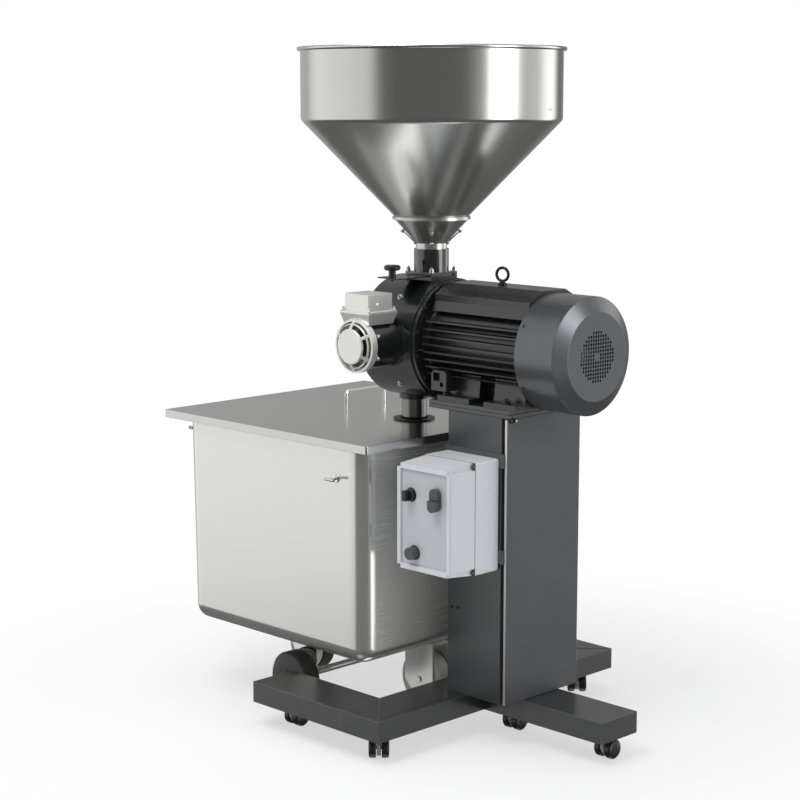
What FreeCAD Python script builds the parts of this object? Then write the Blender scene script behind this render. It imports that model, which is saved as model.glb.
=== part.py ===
import FreeCAD, Part
import math
import os
import re
import Sketcher

# Industrial coffee grinder: a stainless hopper over a disc mill, an electric motor on a sheet steel
# column with a low base on casters, and a wheeled stainless bin that rolls in between the base's arms.
# Frame: +Z up, +X along the motor's axis towards its fan, +Y away from the control box. The origin
# lies on the floor under the hopper's axis. Lengths are in millimetres.

Vector = FreeCAD.Vector
Rotation = FreeCAD.Rotation

# Driving sizes: plain numbers, each set once.
SIZES = {
    # How deep a piece is buried in the one it is fused with, and how far a cut runs past a face
    "bury": 1, "past": 1,
    # Base
    "base_half": 434, "beam_width": 132, "beam_depth": 53, "beam_low": 60, "beam_wall": 3,
    "arm_tip_x": -200, "cross_rear_x": 253, "leg_tip_x": 629,
    # Column and motor plate
    "column_x": 190, "column_depth": 192, "column_half": 133, "column_height": 703,
    "column_wall": 3, "column_lip": 26, "cover_depth": 7, "cover_gap": 10.5, "cover_wall": 2,
    "cover_rebate": 12, "cover_foot": 12, "cover_clear": 1,
    "plate_x": 120, "plate_length": 263, "plate_half": 130, "plate_thick": 20,
    "plate_groove": 2, "plate_groove_rise": 9,
    # Control box
    "box_x": 186, "box_width": 172, "box_low": 447, "box_tall": 272, "box_standoff": 3,
    "box_base_depth": 81, "box_lid_depth": 88, "box_wall": 4, "box_corner": 5,
    "box_draft_top": 7.5, "box_draft_low": 9, "lip_depth": 5,
    "notch_left": 11, "notch_right": 9, "notch_top": 17, "notch_low": 18,
    "panel_rise": 22, "panel_drop": 20,
    "strap_tall": 34, "strap_low": 16.5, "strap_high": 250.5, "strap_left": 6, "strap_right": 18,
    "knob_x": 42, "button_x": 130, "round_x": 54, "knob_rise": 191, "round_rise": 52,
    "knob_radius": 14, "knob_proud": 12, "grip_width": 11, "grip_length": 25, "grip_proud": 14,
    "button_radius": 13, "button_half": 28, "button_proud": 12, "stop_extra": 7, "button_gap": 0.8,
    "round_radius": 15, "round_proud": 16, "stem_radius": 8, "stem_inside": 20, "control_clear": 0.4,
    "button_travel": 4.5,
    # Motor
    "axis_rise": 132, "frame_x": 92, "frame_length": 323, "barrel_radius": 112, "bore_radius": 66,
    "frame_end_wall": 12, "fin_radius": 133, "fin_thick": 4, "fin_pitch": 18.5, "fin_count": 8,
    "fin_low": 74, "fin_inset": 6,
    "saddle_half": 98, "saddle_low": 82, "saddle_waist": 106, "saddle_shoulder": 123,
    "saddle_shoulder_half": 88, "saddle_step": 135, "saddle_step_half": 67,
    "saddle_top": 148, "saddle_top_half": 42, "saddle_inset": 8,
    "foot_half": 132, "foot_inner": 60, "foot_thick": 14, "foot_web": 96, "foot_web_top": 90,
    "foot_rise": 66, "foot_front_x": 58, "foot_front_length": 106, "foot_back": 111,
    "foot_back_length": 100, "foot_hole": 6, "foot_bolt_y": 118, "foot_bolt_front": 20,
    "foot_bolt_back": 61,
    "ear_x": 38, "ear_length": 50, "ear_rise": 24, "ear_tall": 50, "ear_chamfer": 8,
    "ear_hole": 6, "ear_hole_x": 72, "ear_hole_rise": 40, "ear_pocket_x": 44, "ear_pocket": 22,
    "ear_pocket_rise": 48, "ear_pocket_tall": 20, "ear_pocket_depth": 14,
    "flange_x": 76, "flange_radius": 150, "flange_rim": 12, "flange_neck": 124,
    "shaft_radius": 20, "fit_clear": 0.05, "rotor_radius": 64.5, "rotor_inset": 48,
    "cowl_overlap": 7, "cowl_radius": 141.5, "cowl_straight": 116, "cowl_chamfer": 18,
    "cowl_face": 106, "cowl_wall": 2.5, "lug_clear": 0.3, "lug_width": 18, "lug_length": 14,
    "lug_root": 86, "lug_turn": 57,
    "grille_radius": 61, "grille_pitch": 8.8, "grille_hole": 6, "grille_blank": 9,
    "fan_set": 27, "fan_radius": 124, "fan_width": 46, "fan_hub": 32, "fan_blades": 8,
    "fan_blade_thick": 4, "fan_blade_root": 4, "fan_disc": 4, "fan_plate_radius": 98, "shaft_stub": 12,
    "terminal_inset": 36, "terminal_length": 172, "terminal_y": 84, "terminal_reach": 80,
    "terminal_low": 45, "terminal_tall": 76, "terminal_lid": 16, "terminal_lip": 3,
    "eye_along": 150, "eye_ring": 16, "eye_wire": 3.6, "eye_shank": 7, "eye_shank_tall": 10,
    "eye_collar": 11, "eye_collar_tall": 5, "eye_turn": 15,
    # Mill
    "drum_radius": 154, "drum_wall": 16, "drum_front_x": -99, "cover_plate": 8,
    "cover_edge": 3, "cover_boss": 70, "cover_boss_thick": 5, "rear_wall": 10,
    "barrel_inner": 42, "barrel_wall": 8, "barrel_front_x": -44,
    "disc_radius": 112, "disc_thick": 12, "disc_gap": 1.2, "grind_x": -60, "disc_back": 16,
    "disc_nut": 8, "disc_groove_width": 5, "disc_groove_depth": 3, "disc_grooves": 24,
    "disc_groove_inner": 60,
    "sleeve_wall": 7, "slide_clear": 0.3, "sleeve_end_x": -20,
    "disc_seat_radius": 16, "disc_hub_radius": 30,
    "ring_front_x": -38, "gear_module": 2.5, "ring_teeth": 68, "pinion_teeth": 14,
    "gear_face": 18, "tooth_clear": 0.65, "tooth_root": 0.5, "tooth_foot": 1.25, "pressure_angle": 20,
    "pinion_shaft_radius": 8, "pinion_depth": 60, "pinion_overlap": 4,
    "worm_radius": 39.5, "worm_pitch": 45, "worm_turns": 2, "worm_thick": 5, "worm_x": -38,
    "worm_root": 4,
    "throat_radius": 36.5, "inlet_half": 46, "inlet_root": 134, "inlet_low": 144, "inlet_thick": 12,
    "throat_root": 4,
    "duct_half_x": 38, "duct_half_y": 30, "duct_foot": 30, "duct_narrow_x": -6, "duct_wall": 4,
    "duct_step_low": 98, "duct_step_high": 122,
    "gate_thick": 3, "gate_half": 37, "gate_clear": 0.3, "gate_reach": 153, "gate_overlap": 39,
    "gate_knob_reach": 138, "gate_knob_radius": 20.5, "gate_knob_head": 12.5, "gate_knob_edge": 3.5,
    "gate_neck_radius": 9, "gate_neck_tall": 18, "gate_stud": 3.5, "gate_stud_tall": 6,
    "cap_thick": 7, "collar_radius": 44, "collar_tall": 68, "neck_clear": 0.3, "neck_seat": 8,
    "bolt_radius": 3, "bolt_head": 5.5, "bolt_head_thick": 5, "cap_bolt_tall": 9, "bolt_inset": 5,
    "bolt_grip": 10, "radial_bolt_turn": 45,
    "chute_x": -60, "chute_radius": 32, "chute_wall": 2.5, "chute_boss": 38, "chute_boss_low": 163,
    "chute_boss_root": 118, "chute_clear": 7, "chute_fit": 0.1, "chute_inside": 136,
    # Gear motor of the grind setting
    "gear_seat": 160, "gear_radius": 60, "gear_end": 252, "gear_pad": 63, "gear_pad_low": 128,
    "gear_cover_radius": 66, "gear_cover_rim": 17, "gear_cover_dome": 15.5, "gear_cover_wall": 3,
    "gear_cover_ledge": 62, "gear_cover_disc": 41.5, "gear_spokes": 6, "gear_spoke": 8,
    "slot_inner_low": 43.5, "slot_inner_high": 53, "slot_outer_low": 55.5, "slot_outer_high": 60.5,
    "gear_box_half": 44, "gear_box_half_y": 41, "gear_box_out": 219.5, "gear_box_rise": 85,
    "gear_box_tall": 42, "gear_box_base": 32, "gear_box_flare": 7, "gear_box_foot": 44,
    "gear_box_rim": 6, "gear_box_groove": 3.2, "gear_box_draft": 1.2,
    "knockout_radius": 5.6, "knockout_depth": 0.8, "knockout_rise": 16.5, "knockout_out": 230,
    # Hopper
    "hopper_radius": 326, "hopper_wall_rise": 178, "hopper_cone_rise": 243, "hopper_bend": 16,
    "hopper_rim": 5, "hopper_foot_radius": 93, "sheet": 2.5, "lip_radius": 98, "lip_thick": 3.5,
    "funnel_rise": 63, "neck_radius": 39, "neck_length": 63.4,
    # Bin
    "tub_front_x": -567, "tub_length": 675, "tub_half": 345, "tub_low": 193, "tub_wall": 2.5,
    "tub_corner": 45, "tub_bottom_bend": 40, "tub_taper": 0.5,
    "lid_front_x": -629, "lid_length": 773, "lid_half": 366, "lid_top": 750, "lid_skirt": 20,
    "lid_wall": 2, "lid_corner": 6, "lid_hole": 50, "lid_ring_radius": 36, "lid_ring_rise": 4,
    "lid_ring_flange": 53, "lid_ring_clear": 0.3, "lid_seat_clear": 0.3,
    "handle_x": -317, "handle_y": 72, "handle_half": 71, "handle_tall": 47, "handle_wire": 4,
    "handle_bend": 14,
    "catch_from_end": 94, "catch_z": 652, "catch_stem": 3.5, "catch_reach": 22, "catch_bar": 32,
    "catch_rose": 10, "catch_rose_thick": 3, "catch_clear": 0.3, "catch_inside": 12,
    "axle_x": -252, "axle_radius": 9.5, "wheel_radius": 71, "wheel_width": 45, "wheel_y": 244,
    "wheel_hub": 22, "wheel_dish": 2, "wheel_rim": 60, "wheel_edge": 4, "axle_end": 6,
    "hanger_y": 208, "hanger_half": 43, "hanger_low": 20, "hanger_wall": 4,
    "caster_front": 177, "caster_rear": 211, "caster_trail": 28, "fork_gap": 3, "fork_wall": 4,
    "fork_half": 50, "fork_foot": 36, "fork_chamfer": 28, "fork_axle": 8, "fork_axle_end": 4,
    "fork_head": 32, "fork_plate": 46, "fork_plate_thick": 5, "fork_clear": 0.3, "fork_crown": 172,
    # Base casters
    "twin_radius": 24, "twin_width": 17, "twin_gap": 14, "twin_web": 10, "twin_trail": 14,
    "twin_axle": 4, "twin_stem": 6.4, "twin_plate": 20, "twin_plate_thick": 3, "twin_web_radius": 19,
    "twin_neck_back": 8, "twin_neck": 30, "twin_cap": 9, "twin_cap_rim": 5, "twin_dish": 1.5,
    "twin_edge": 3, "twin_inner_edge": 2, "arm_caster_inset": 75,
    "leg_caster_inset": 47, "twin_clear": 0.3, "leg_root_inset": 32, "corner_caster_x": 187,
}

# Values that follow from the driving sizes, as formulas of the sheet.
FOLLOWING = {
    "cross_front_x": "cross_rear_x - beam_width",
    "beam_top": "beam_low + beam_depth",
    "plate_low": "beam_top + column_height",
    "plate_top": "plate_low + plate_thick",
    "axis_z": "plate_top + axis_rise",
    "shell_depth": "column_depth - cover_depth - cover_gap",
    "box_back_y": "0 - column_half - box_standoff",
    "box_split_y": "box_back_y - box_base_depth",
    "box_front_y": "box_split_y - box_lid_depth",
    "panel_y": "box_front_y + lip_depth",
    "box_right": "box_x + box_width",
    "box_top": "box_low + box_tall",
    "frame_end_x": "frame_x + frame_length",
    "rotor_x": "frame_x + rotor_inset",
    "rotor_length": "frame_length - 2 * rotor_inset",
    "cowl_x": "frame_end_x - cowl_overlap",
    "fan_x": "frame_end_x + fan_set",
    "shaft_tail_x": "fan_x + fan_width + shaft_stub",
    "eye_x": "frame_x + eye_along",
    "terminal_x": "frame_x + terminal_inset",
    "foot_front": "frame_x + foot_front_x",
    "foot_rear": "frame_end_x - foot_back",
    "cowl_inner": "cowl_radius - cowl_wall",
    "barrel_outer": "barrel_inner + barrel_wall",
    "sleeve_inner": "barrel_outer + slide_clear",
    "sleeve_outer": "sleeve_inner + sleeve_wall",
    "crown_plane_x": "0 - gear_module * pinion_teeth / 2",
    "crown_root_x": "crown_plane_x - tooth_foot * gear_module",
    "crown_radius": "gear_module * ring_teeth / 2",
    "crown_inner": "crown_radius - gear_face / 2",
    "crown_outer": "crown_radius + gear_face / 2",
    "flange_top": "axis_z + inlet_low + inlet_thick",
    "slot_tall": "gate_thick + 2 * gate_clear",
    "cap_low": "flange_top",
    "cap_top": "cap_low + slot_tall + cap_thick",
    "chute_end": "lid_top + chute_clear",
    "chute_top": "axis_z - chute_inside",
    "neck_end": "cap_top + neck_seat",
    "funnel_low": "neck_end + neck_length",
    "hopper_foot": "funnel_low + funnel_rise",
    "hopper_shoulder": "hopper_foot + hopper_cone_rise",
    "hopper_top": "hopper_shoulder + hopper_wall_rise",
    "lug_tip": "cowl_inner - lug_clear",
    "gear_rim_end": "gear_end + gear_cover_rim",
    "gear_face_end": "gear_rim_end + gear_cover_dome",
    "cone_sheet": "sheet * 1.41421356",
    "lid_under": "lid_top - lid_wall",
    "tub_top": "lid_under - lid_seat_clear",
    "tub_end_x": "tub_front_x + tub_length",
    "catch_x": "tub_end_x - catch_from_end",
    "catch_inset": "(tub_top - catch_z - catch_rose) * tan(tub_taper * 1 deg)",
    "catch_face": "catch_inset - tub_half - catch_clear",
    "fork_inner": "wheel_width / 2 + fork_gap",
    "fork_outer": "fork_inner + fork_wall",
    "fork_top": "tub_low - fork_clear",
    "twin_axle_z": "twin_radius",
    "twin_top": "beam_low - twin_clear",
    "arm_y": "base_half - beam_width / 2",
}

# Rotations that lay a piece's own Z along the named direction.
LAY = {
    "z": Rotation(),
    "x": Rotation(Vector(0, 1, 0), 90),
    "y": Rotation(Vector(1, 0, 0), -90),
    "-y": Rotation(Vector(1, 0, 0), 90),
    "-z": Rotation(Vector(1, 0, 0), 180),
}

doc = FreeCAD.newDocument("coffee_grinder")
sheet = doc.addObject("Spreadsheet::Sheet", "Sizes")
NODES = []


def fill_sheet():
    row = 1
    for alias, number in SIZES.items():
        sheet.set(f"A{row}", alias)
        sheet.set(f"B{row}", str(number))
        sheet.setAlias(f"B{row}", alias)
        row += 1
    for alias, formula in FOLLOWING.items():
        sheet.set(f"A{row}", alias)
        sheet.set(f"B{row}", "=" + formula)
        sheet.setAlias(f"B{row}", alias)
        row += 1
    doc.recompute()


def size(alias):
    return float(sheet.get(alias))


def formula(text):
    # A formula in words becomes one that reads the sheet's cells.
    def cell(match):
        word = match.group(0)
        return "Sizes." + word if word in SIZES or word in FOLLOWING else word
    return re.sub(r"[A-Za-z_][A-Za-z_0-9]*", cell, str(text))


def bind(thing, prop, text):
    thing.setExpression(prop, formula(text))


def place(thing, x="0", y="0", z="0", lay="z"):
    turn = LAY[lay] if isinstance(lay, str) else lay
    thing.Placement = FreeCAD.Placement(Vector(), turn)
    bind(thing, "Placement.Base.x", x)
    bind(thing, "Placement.Base.y", y)
    bind(thing, "Placement.Base.z", z)
    return thing


def box(name, sides, corner):
    thing = doc.addObject("Part::Box", name)
    for prop, text in zip(("Length", "Width", "Height"), sides):
        bind(thing, prop, text)
    return place(thing, *corner)


def cylinder(name, radius, length, corner, lay="z"):
    thing = doc.addObject("Part::Cylinder", name)
    bind(thing, "Radius", radius)
    bind(thing, "Height", length)
    return place(thing, *corner, lay=lay)


def torus(name, ring, wire, corner, lay="z"):
    thing = doc.addObject("Part::Torus", name)
    bind(thing, "Radius1", ring)
    bind(thing, "Radius2", wire)
    return place(thing, *corner, lay=lay)


def fused(name, pieces):
    thing = doc.addObject("Part::MultiFuse", name)
    thing.Shapes = pieces
    thing.Refine = True
    return thing


def without(name, base, tools):
    thing = doc.addObject("Part::Cut", name)
    thing.Base = base
    thing.Tool = tools[0] if len(tools) == 1 else fused(name + "_tools", tools)
    thing.Refine = True
    return thing


def shared(name, first, second):
    thing = doc.addObject("Part::Common", name)
    thing.Base = first
    thing.Tool = second
    return thing


def made(name, shape):
    thing = doc.addObject("Part::Feature", name)
    thing.Shape = shape
    return thing


def node(label, thing):
    thing.Label = label
    NODES.append(thing)
    return thing


def origin_item(body, role):
    return [item for item in body.Origin.OriginFeatures if item.Role == role][0]


def outline(body, name, points, role):
    # A closed polygon, each corner held to formulas of the sheet.
    sketch = body.newObject("Sketcher::SketchObject", name)
    sketch.AttachmentSupport = [(origin_item(body, role), "")]
    sketch.MapMode = "FlatFace"
    count = len(points)
    rough = [Vector(math.cos(2 * math.pi * i / count), math.sin(2 * math.pi * i / count), 0)
             for i in range(count)]
    for i in range(count):
        sketch.addGeometry(Part.LineSegment(rough[i], rough[(i + 1) % count]))
    for i in range(count):
        sketch.addConstraint(Sketcher.Constraint("Coincident", i, 2, (i + 1) % count, 1))
    for i, (across, up) in enumerate(points):
        for kind, text, start in (("DistanceX", across, rough[i].x), ("DistanceY", up, rough[i].y)):
            row = sketch.addConstraint(Sketcher.Constraint(kind, -1, 1, i, 1, start))
            bind(sketch, f"Constraints[{row}]", text)
    return sketch


def turned(name, profile, corner=("0", "0", "0"), lay="z"):
    # Revolves (radius, height) points about the body's own Z.
    body = doc.addObject("PartDesign::Body", name)
    sketch = outline(body, name + "_profile", profile, "XZ_Plane")
    feature = body.newObject("PartDesign::Revolution", name + "_turn")
    feature.Profile = sketch
    feature.ReferenceAxis = (sketch, ["V_Axis"])
    feature.Angle = 360
    place(body, *corner, lay=lay)
    return body


def padded(name, profile, length, corner=("0", "0", "0"), role="XY_Plane", middle=False, lay="z"):
    # Extrudes a polygon along its plane's normal, or to both sides of it.
    body = doc.addObject("PartDesign::Body", name)
    sketch = outline(body, name + "_profile", profile, role)
    feature = body.newObject("PartDesign::Pad", name + "_pad")
    feature.Profile = sketch
    feature.Midplane = middle
    bind(feature, "Length", length)
    place(body, *corner, lay=lay)
    return body


def matching(shape, test):
    return [f"Edge{i + 1}" for i, edge in enumerate(shape.Edges) if test(edge)]


def along(edge, axis):
    # Whether a straight edge runs along the axis.
    if not isinstance(edge.Curve, Part.Line):
        return False
    return abs(abs(edge.Curve.Direction.dot(axis)) - 1) < 1e-6


def circle_at(radius, height):
    # Tests for a full circle of that radius and height about Z.
    def test(edge):
        curve = edge.Curve
        if not isinstance(curve, Part.Circle):
            return False
        return abs(curve.Radius - radius) < 1e-3 and abs(curve.Center.z - height) < 1e-3
    return test


def rounded(body, radius, test):
    # Rounds the edges of the body's last feature that pass the test.
    doc.recompute()
    feature = body.newObject("PartDesign::Fillet", body.Name + f"_round{len(body.Group)}")
    feature.Base = (body.Group[-2], matching(body.Group[-2].Shape, test))
    bind(feature, "Radius", radius)
    return body


def around(name, thing, count, axis_x="0", axis_z="0", lay="z"):
    # Copies of a shape, evenly turned about the named direction.
    doc.recompute()
    direction = LAY[lay].multVec(Vector(0, 0, 1))
    copies = []
    for i in range(count):
        copy = thing.Shape.copy()
        copy.rotate(Vector(axis_x, 0, axis_z), direction, 360 * i / count)
        copies.append(copy)
    return made(name, Part.makeCompound(copies))


def hollow_beam(label, x, y, length, width):
    outer = box(label + "_outer", (length, width, "beam_depth"), (x, y, "beam_low"))
    sides = (f"{length} - 2 * beam_wall", f"{width} - 2 * beam_wall", "beam_depth - 2 * beam_wall")
    inner = box(label + "_inner", sides, (f"{x} + beam_wall", f"{y} + beam_wall", "beam_low + beam_wall"))
    node(label, without(label + "_solid", outer, [inner]))


def base():
    reach = "(cross_front_x - arm_tip_x)"
    hollow_beam("near_arm", "arm_tip_x", "0 - base_half", reach, "beam_width")
    hollow_beam("far_arm", "arm_tip_x", "base_half - beam_width", reach, "beam_width")
    hollow_beam("cross_beam", "cross_front_x", "0 - base_half", "beam_width", "(2 * base_half)")
    hollow_beam("rear_leg", "cross_rear_x", "0 - beam_width / 2", "(leg_tip_x - cross_rear_x)", "beam_width")


def mirrored(half):
    # Points of one half of a section, then their mirror images in reverse.
    return half + [(x, f"0 - ({y})") for x, y in reversed(half)]


def column():
    # A folded channel with lips, open towards +X, and the folded cover that closes it.
    inside = "column_half - column_wall"
    lip = "column_half - column_lip"
    shell_inner = "shell_depth - column_wall"
    section = mirrored([
        ("0", "column_half"), ("shell_depth", "column_half"), ("shell_depth", lip),
        (shell_inner, lip), (shell_inner, inside), ("column_wall", inside)])
    shell = padded("column_shell_body", section, "column_height", ("column_x", "0", "beam_top"))
    node("column_shell", shell)
    rebate = "column_half - cover_rebate"
    foot = "column_half - cover_rebate - cover_foot"
    section = mirrored([
        ("cover_depth", "column_half"), ("0", "column_half"), ("0", rebate),
        ("0 - cover_gap", rebate), ("0 - cover_gap", foot), ("cover_wall - cover_gap", foot),
        ("cover_wall - cover_gap", rebate + " - cover_wall"), ("cover_wall", rebate + " - cover_wall"),
        ("cover_wall", "column_half - cover_wall"),
        ("cover_depth - cover_wall", "column_half - cover_wall")])
    cover = padded("column_cover_body", section, "column_height - 2 * cover_clear",
                   ("column_x + shell_depth + cover_gap", "0", "beam_top + cover_clear"))
    node("column_cover", cover)


def motor_plate():
    # A thick plate with a shallow groove all round its edge.
    plate = box("plate_blank", ("plate_length", "2 * plate_half", "plate_thick"),
                ("plate_x", "0 - plate_half", "plate_low"))
    rings = []
    for name, sign in (("outer", "+"), ("inner", "-")):
        sides = (f"plate_length {sign} 2 * plate_groove", f"2 * plate_half {sign} 2 * plate_groove",
                 "plate_groove")
        other = "-" if sign == "+" else "+"
        corner = (f"plate_x {other} plate_groove", f"0 - plate_half {other} plate_groove",
                  "plate_low + plate_groove_rise")
        rings.append(box(f"plate_groove_{name}", sides, corner))
    groove = without("plate_groove_ring", rings[0], [rings[1]])
    node("motor_plate", without("motor_plate_solid", plate, [groove]))


def box_shell(name, depth, split):
    # An upright block with rounded edges along Y, from the split towards the back.
    block = padded(name, [("0", "0"), ("box_width", "0"), ("box_width", "box_tall"), ("0", "box_tall")],
                   depth, ("box_x", split, "box_low"), role="XZ_Plane")
    return rounded(block, "box_corner", lambda edge: along(edge, Vector(0, 1, 0)))


def panel_hole(name, x, z):
    return cylinder(name, "stem_radius + control_clear", "3 * box_wall", (x, "panel_y - box_wall", z), "y")


def enclosure_base():
    # A tray that opens forwards, on two flat straps that hold it to the column.
    tray = box_shell("box_tray", "box_base_depth", "box_back_y")
    hollow = box("box_tray_hollow", ("box_width - 2 * box_wall", "box_base_depth", "box_tall - 2 * box_wall"),
                 ("box_x + box_wall", "box_split_y - box_wall", "box_low + box_wall"))
    straps = []
    for end in ("low", "high"):
        sides = ("box_width + strap_left + strap_right", "box_standoff", "strap_tall")
        straps.append(box(f"box_strap_{end}", sides,
                          ("box_x - strap_left", "box_back_y", f"box_low + strap_{end}")))
    open_tray = without("box_base_open", tray, [hollow])
    node("enclosure_base", fused("enclosure_base_solid", [open_tray] + straps))


def enclosure_lid():
    # A deep cover with drafted top and bottom, a channel along each corner for its screws and a
    # front panel set back between lips.
    cover = box_shell("box_cover", "box_lid_depth", "box_split_y")
    draft = padded("box_draft", [
        ("0", "0"), ("0 - box_lid_depth", "box_draft_low"),
        ("0 - box_lid_depth", "box_tall - box_draft_top"), ("0", "box_tall")],
        "box_width", ("box_x", "box_split_y", "box_low"), role="YZ_Plane")
    drafted = shared("box_cover_drafted", cover, draft)
    deep = "box_lid_depth - box_wall - lip_depth"
    start = "panel_y + box_wall"
    wide = box("box_cover_hollow_wide",
               ("box_width - 2 * box_wall", deep, "box_tall - notch_low - notch_top - 2 * box_wall"),
               ("box_x + box_wall", start, "box_low + notch_low + box_wall"))
    tall = box("box_cover_hollow_tall",
               ("box_width - notch_left - notch_right - 2 * box_wall", deep,
                "box_tall - box_draft_low - box_draft_top - 2 * box_wall"),
               ("box_x + notch_left + box_wall", start, "box_low + box_draft_low + box_wall"))
    recess = box("box_cover_recess",
                 ("box_width - notch_left - notch_right", "2 * lip_depth",
                  "box_tall - panel_rise - panel_drop"),
                 ("box_x + notch_left", "panel_y - 2 * lip_depth", "box_low + panel_rise"))
    channels = []
    for side, x in (("left", "box_x - past"), ("right", "box_right - notch_right")):
        for end, z in (("low", "box_low - past"), ("top", "box_top - notch_top")):
            channels.append(box(f"box_channel_{side}_{end}",
                                (f"notch_{side} + past", "box_lid_depth + 2 * past", f"notch_{end} + past"),
                                (x, "box_front_y - past", z)))
    knob_z = "box_low + knob_rise"
    button = "box_x + button_x"
    holes = [
        panel_hole("knob_hole", "box_x + knob_x", knob_z),
        panel_hole("round_hole", "box_x + round_x", "box_low + round_rise"),
        panel_hole("start_hole", button, f"{knob_z} + button_half / 2"),
        panel_hole("stop_hole", button, f"{knob_z} - button_half / 2"),
    ]
    tools = [wide, tall, recess] + channels + holes
    node("enclosure_lid", without("enclosure_lid_solid", drafted, tools))


def stem(name, x, z, proud):
    # A control's round stem, from behind the panel to the root of its head.
    return cylinder(name, "stem_radius", f"stem_inside + {proud}", (x, f"panel_y - ({proud})", z), "y")


def controls():
    knob_x = "box_x + knob_x"
    knob_z = "box_low + knob_rise"
    knob_front = "panel_y - control_clear - knob_proud"
    knob = cylinder("knob_disc", "knob_radius", "knob_proud", (knob_x, knob_front, knob_z), "y")
    grip = box("knob_grip", ("grip_width", "grip_proud + bury", "grip_length"),
               (f"{knob_x} - grip_width / 2", f"{knob_front} - grip_proud", f"{knob_z} - grip_length / 2"))
    root = stem("knob_stem", knob_x, knob_z, "control_clear + bury")
    node("selector_knob", fused("selector_knob_solid", [knob, grip, root]))
    round_x = "box_x + round_x"
    round_z = "box_low + round_rise"
    head = cylinder("round_head", "round_radius", "round_proud",
                    (round_x, "panel_y - button_travel - round_proud", round_z), "y")
    root = stem("round_stem", round_x, round_z, "button_travel + bury")
    node("round_button", fused("round_button_solid", [head, root]))
    button_x = "box_x + button_x"
    # The twin button: an upright oval, split in its middle, with the lower half standing out further.
    for label, sign, extra in (("start_button", 1, "0"), ("stop_button", -1, "stop_extra")):
        proud = f"(button_proud + {extra})"
        front = f"panel_y - button_travel - {proud}"
        tip = f"{knob_z} + {sign} * (button_half - button_radius)"
        cap = cylinder(label + "_cap", "button_radius", proud, (button_x, front, tip), "y")
        low = f"{knob_z} + button_gap / 2" if sign > 0 else tip
        mid = box(label + "_mid", ("2 * button_radius", proud, "button_half - button_radius - button_gap / 2"),
                  (f"{button_x} - button_radius", front, low))
        middle_z = f"{knob_z} + {sign} * button_half / 2"
        root = stem(label + "_stem", button_x, middle_z, "button_travel + bury")
        node(label, fused(label + "_solid", [cap, mid, root]))


def fin_stack():
    # Level cooling fins on both sides, held inside a round envelope.
    stack = doc.addObject("PartDesign::Body", "fin_stack")
    section = [("0 - fin_radius", "0"), ("fin_radius", "0"), ("fin_radius", "fin_thick"),
               ("0 - fin_radius", "fin_thick")]
    fin = stack.newObject("PartDesign::Pad", "fin_pad")
    fin.Profile = outline(stack, "fin_section", section, "YZ_Plane")
    bind(fin, "Length", "frame_length - 2 * fin_inset")
    rows = stack.newObject("PartDesign::LinearPattern", "fin_rows")
    rows.Originals = [fin]
    rows.Direction = (origin_item(stack, "Z_Axis"), [""])
    bind(rows, "Length", "fin_pitch * (fin_count - 1)")
    bind(rows, "Occurrences", "fin_count")
    stack.Tip = rows
    place(stack, "frame_x + fin_inset", "0", "axis_z - fin_low")
    envelope = cylinder("fin_envelope", "fin_radius", "frame_length", ("frame_x", "0", "axis_z"), "x")
    return shared("frame_fins", stack, envelope)


def motor_feet():
    # Two feet on each side with sloping webs, an ear with a hole on each front foot, and the solid
    # block under the barrel that joins them.
    pieces = [box("frame_keel", ("foot_rear + foot_back_length - foot_front", "2 * foot_inner + 2 * bury",
                                 "foot_rise"), ("foot_front", "0 - foot_inner - bury", "plate_top"))]
    for side, name in ((-1, "near"), (1, "far")):
        section = [(f"{side} * foot_half", "0"), (f"{side} * foot_half", "foot_thick"),
                   (f"{side} * foot_web", "foot_thick"), (f"{side} * foot_web_top", "foot_rise"),
                   (f"{side} * foot_inner", "foot_rise"), (f"{side} * foot_inner", "0")]
        for end in ("front", "rear"):
            length = "foot_front_length" if end == "front" else "foot_back_length"
            pieces.append(padded(f"{name}_foot_{end}", section, length, (f"foot_{end}", "0", "plate_top"),
                                 role="YZ_Plane"))
        start = "foot_half" if side > 0 else "foot_thick - foot_web_top"
        ear = padded(f"{name}_ear_blank", [
            ("0", "0"), ("ear_length", "0"), ("ear_length", "ear_tall - ear_chamfer"),
            ("ear_length - ear_chamfer", "ear_tall"), ("ear_chamfer", "ear_tall"),
            ("0", "ear_tall - ear_chamfer")], "foot_half - foot_web_top + foot_thick",
            ("frame_x + ear_x", start, "plate_top + ear_rise"), role="XZ_Plane")
        hole = cylinder(f"{name}_ear_hole", "ear_hole", "foot_half",
                        ("frame_x + ear_hole_x", f"{side} * foot_half - foot_half / 2",
                         "plate_top + ear_hole_rise"), "y")
        pocket = box(f"{name}_ear_pocket", ("ear_pocket", "2 * ear_pocket_depth", "ear_pocket_tall"),
                     ("frame_x + ear_pocket_x", f"{side} * foot_half - ear_pocket_depth",
                      "plate_top + ear_pocket_rise"))
        pieces.append(without(f"{name}_ear", ear, [hole, pocket]))
    return pieces


def cowl_lugs():
    # Blocks at the barrel's end that carry the fan cowl.
    lugs = []
    for i, turn in enumerate(("lug_turn", "180 - lug_turn", "180 + lug_turn", "0 - lug_turn")):
        lug = box(f"cowl_lug_{i}", ("lug_length", "lug_width", "lug_tip - lug_root"), ("0", "0", "0"))
        angle = f"(({turn}) * 1 deg)"
        degrees = (size("lug_turn"), 180 - size("lug_turn"), 180 + size("lug_turn"), -size("lug_turn"))[i]
        lugs.append(place(lug, "frame_end_x - lug_length / 2",
                          f"0 - cos{angle} * lug_width / 2 - sin{angle} * lug_root",
                          f"axis_z - sin{angle} * lug_width / 2 + cos{angle} * lug_root",
                          Rotation(Vector(1, 0, 0), degrees)))
    return lugs


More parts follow.
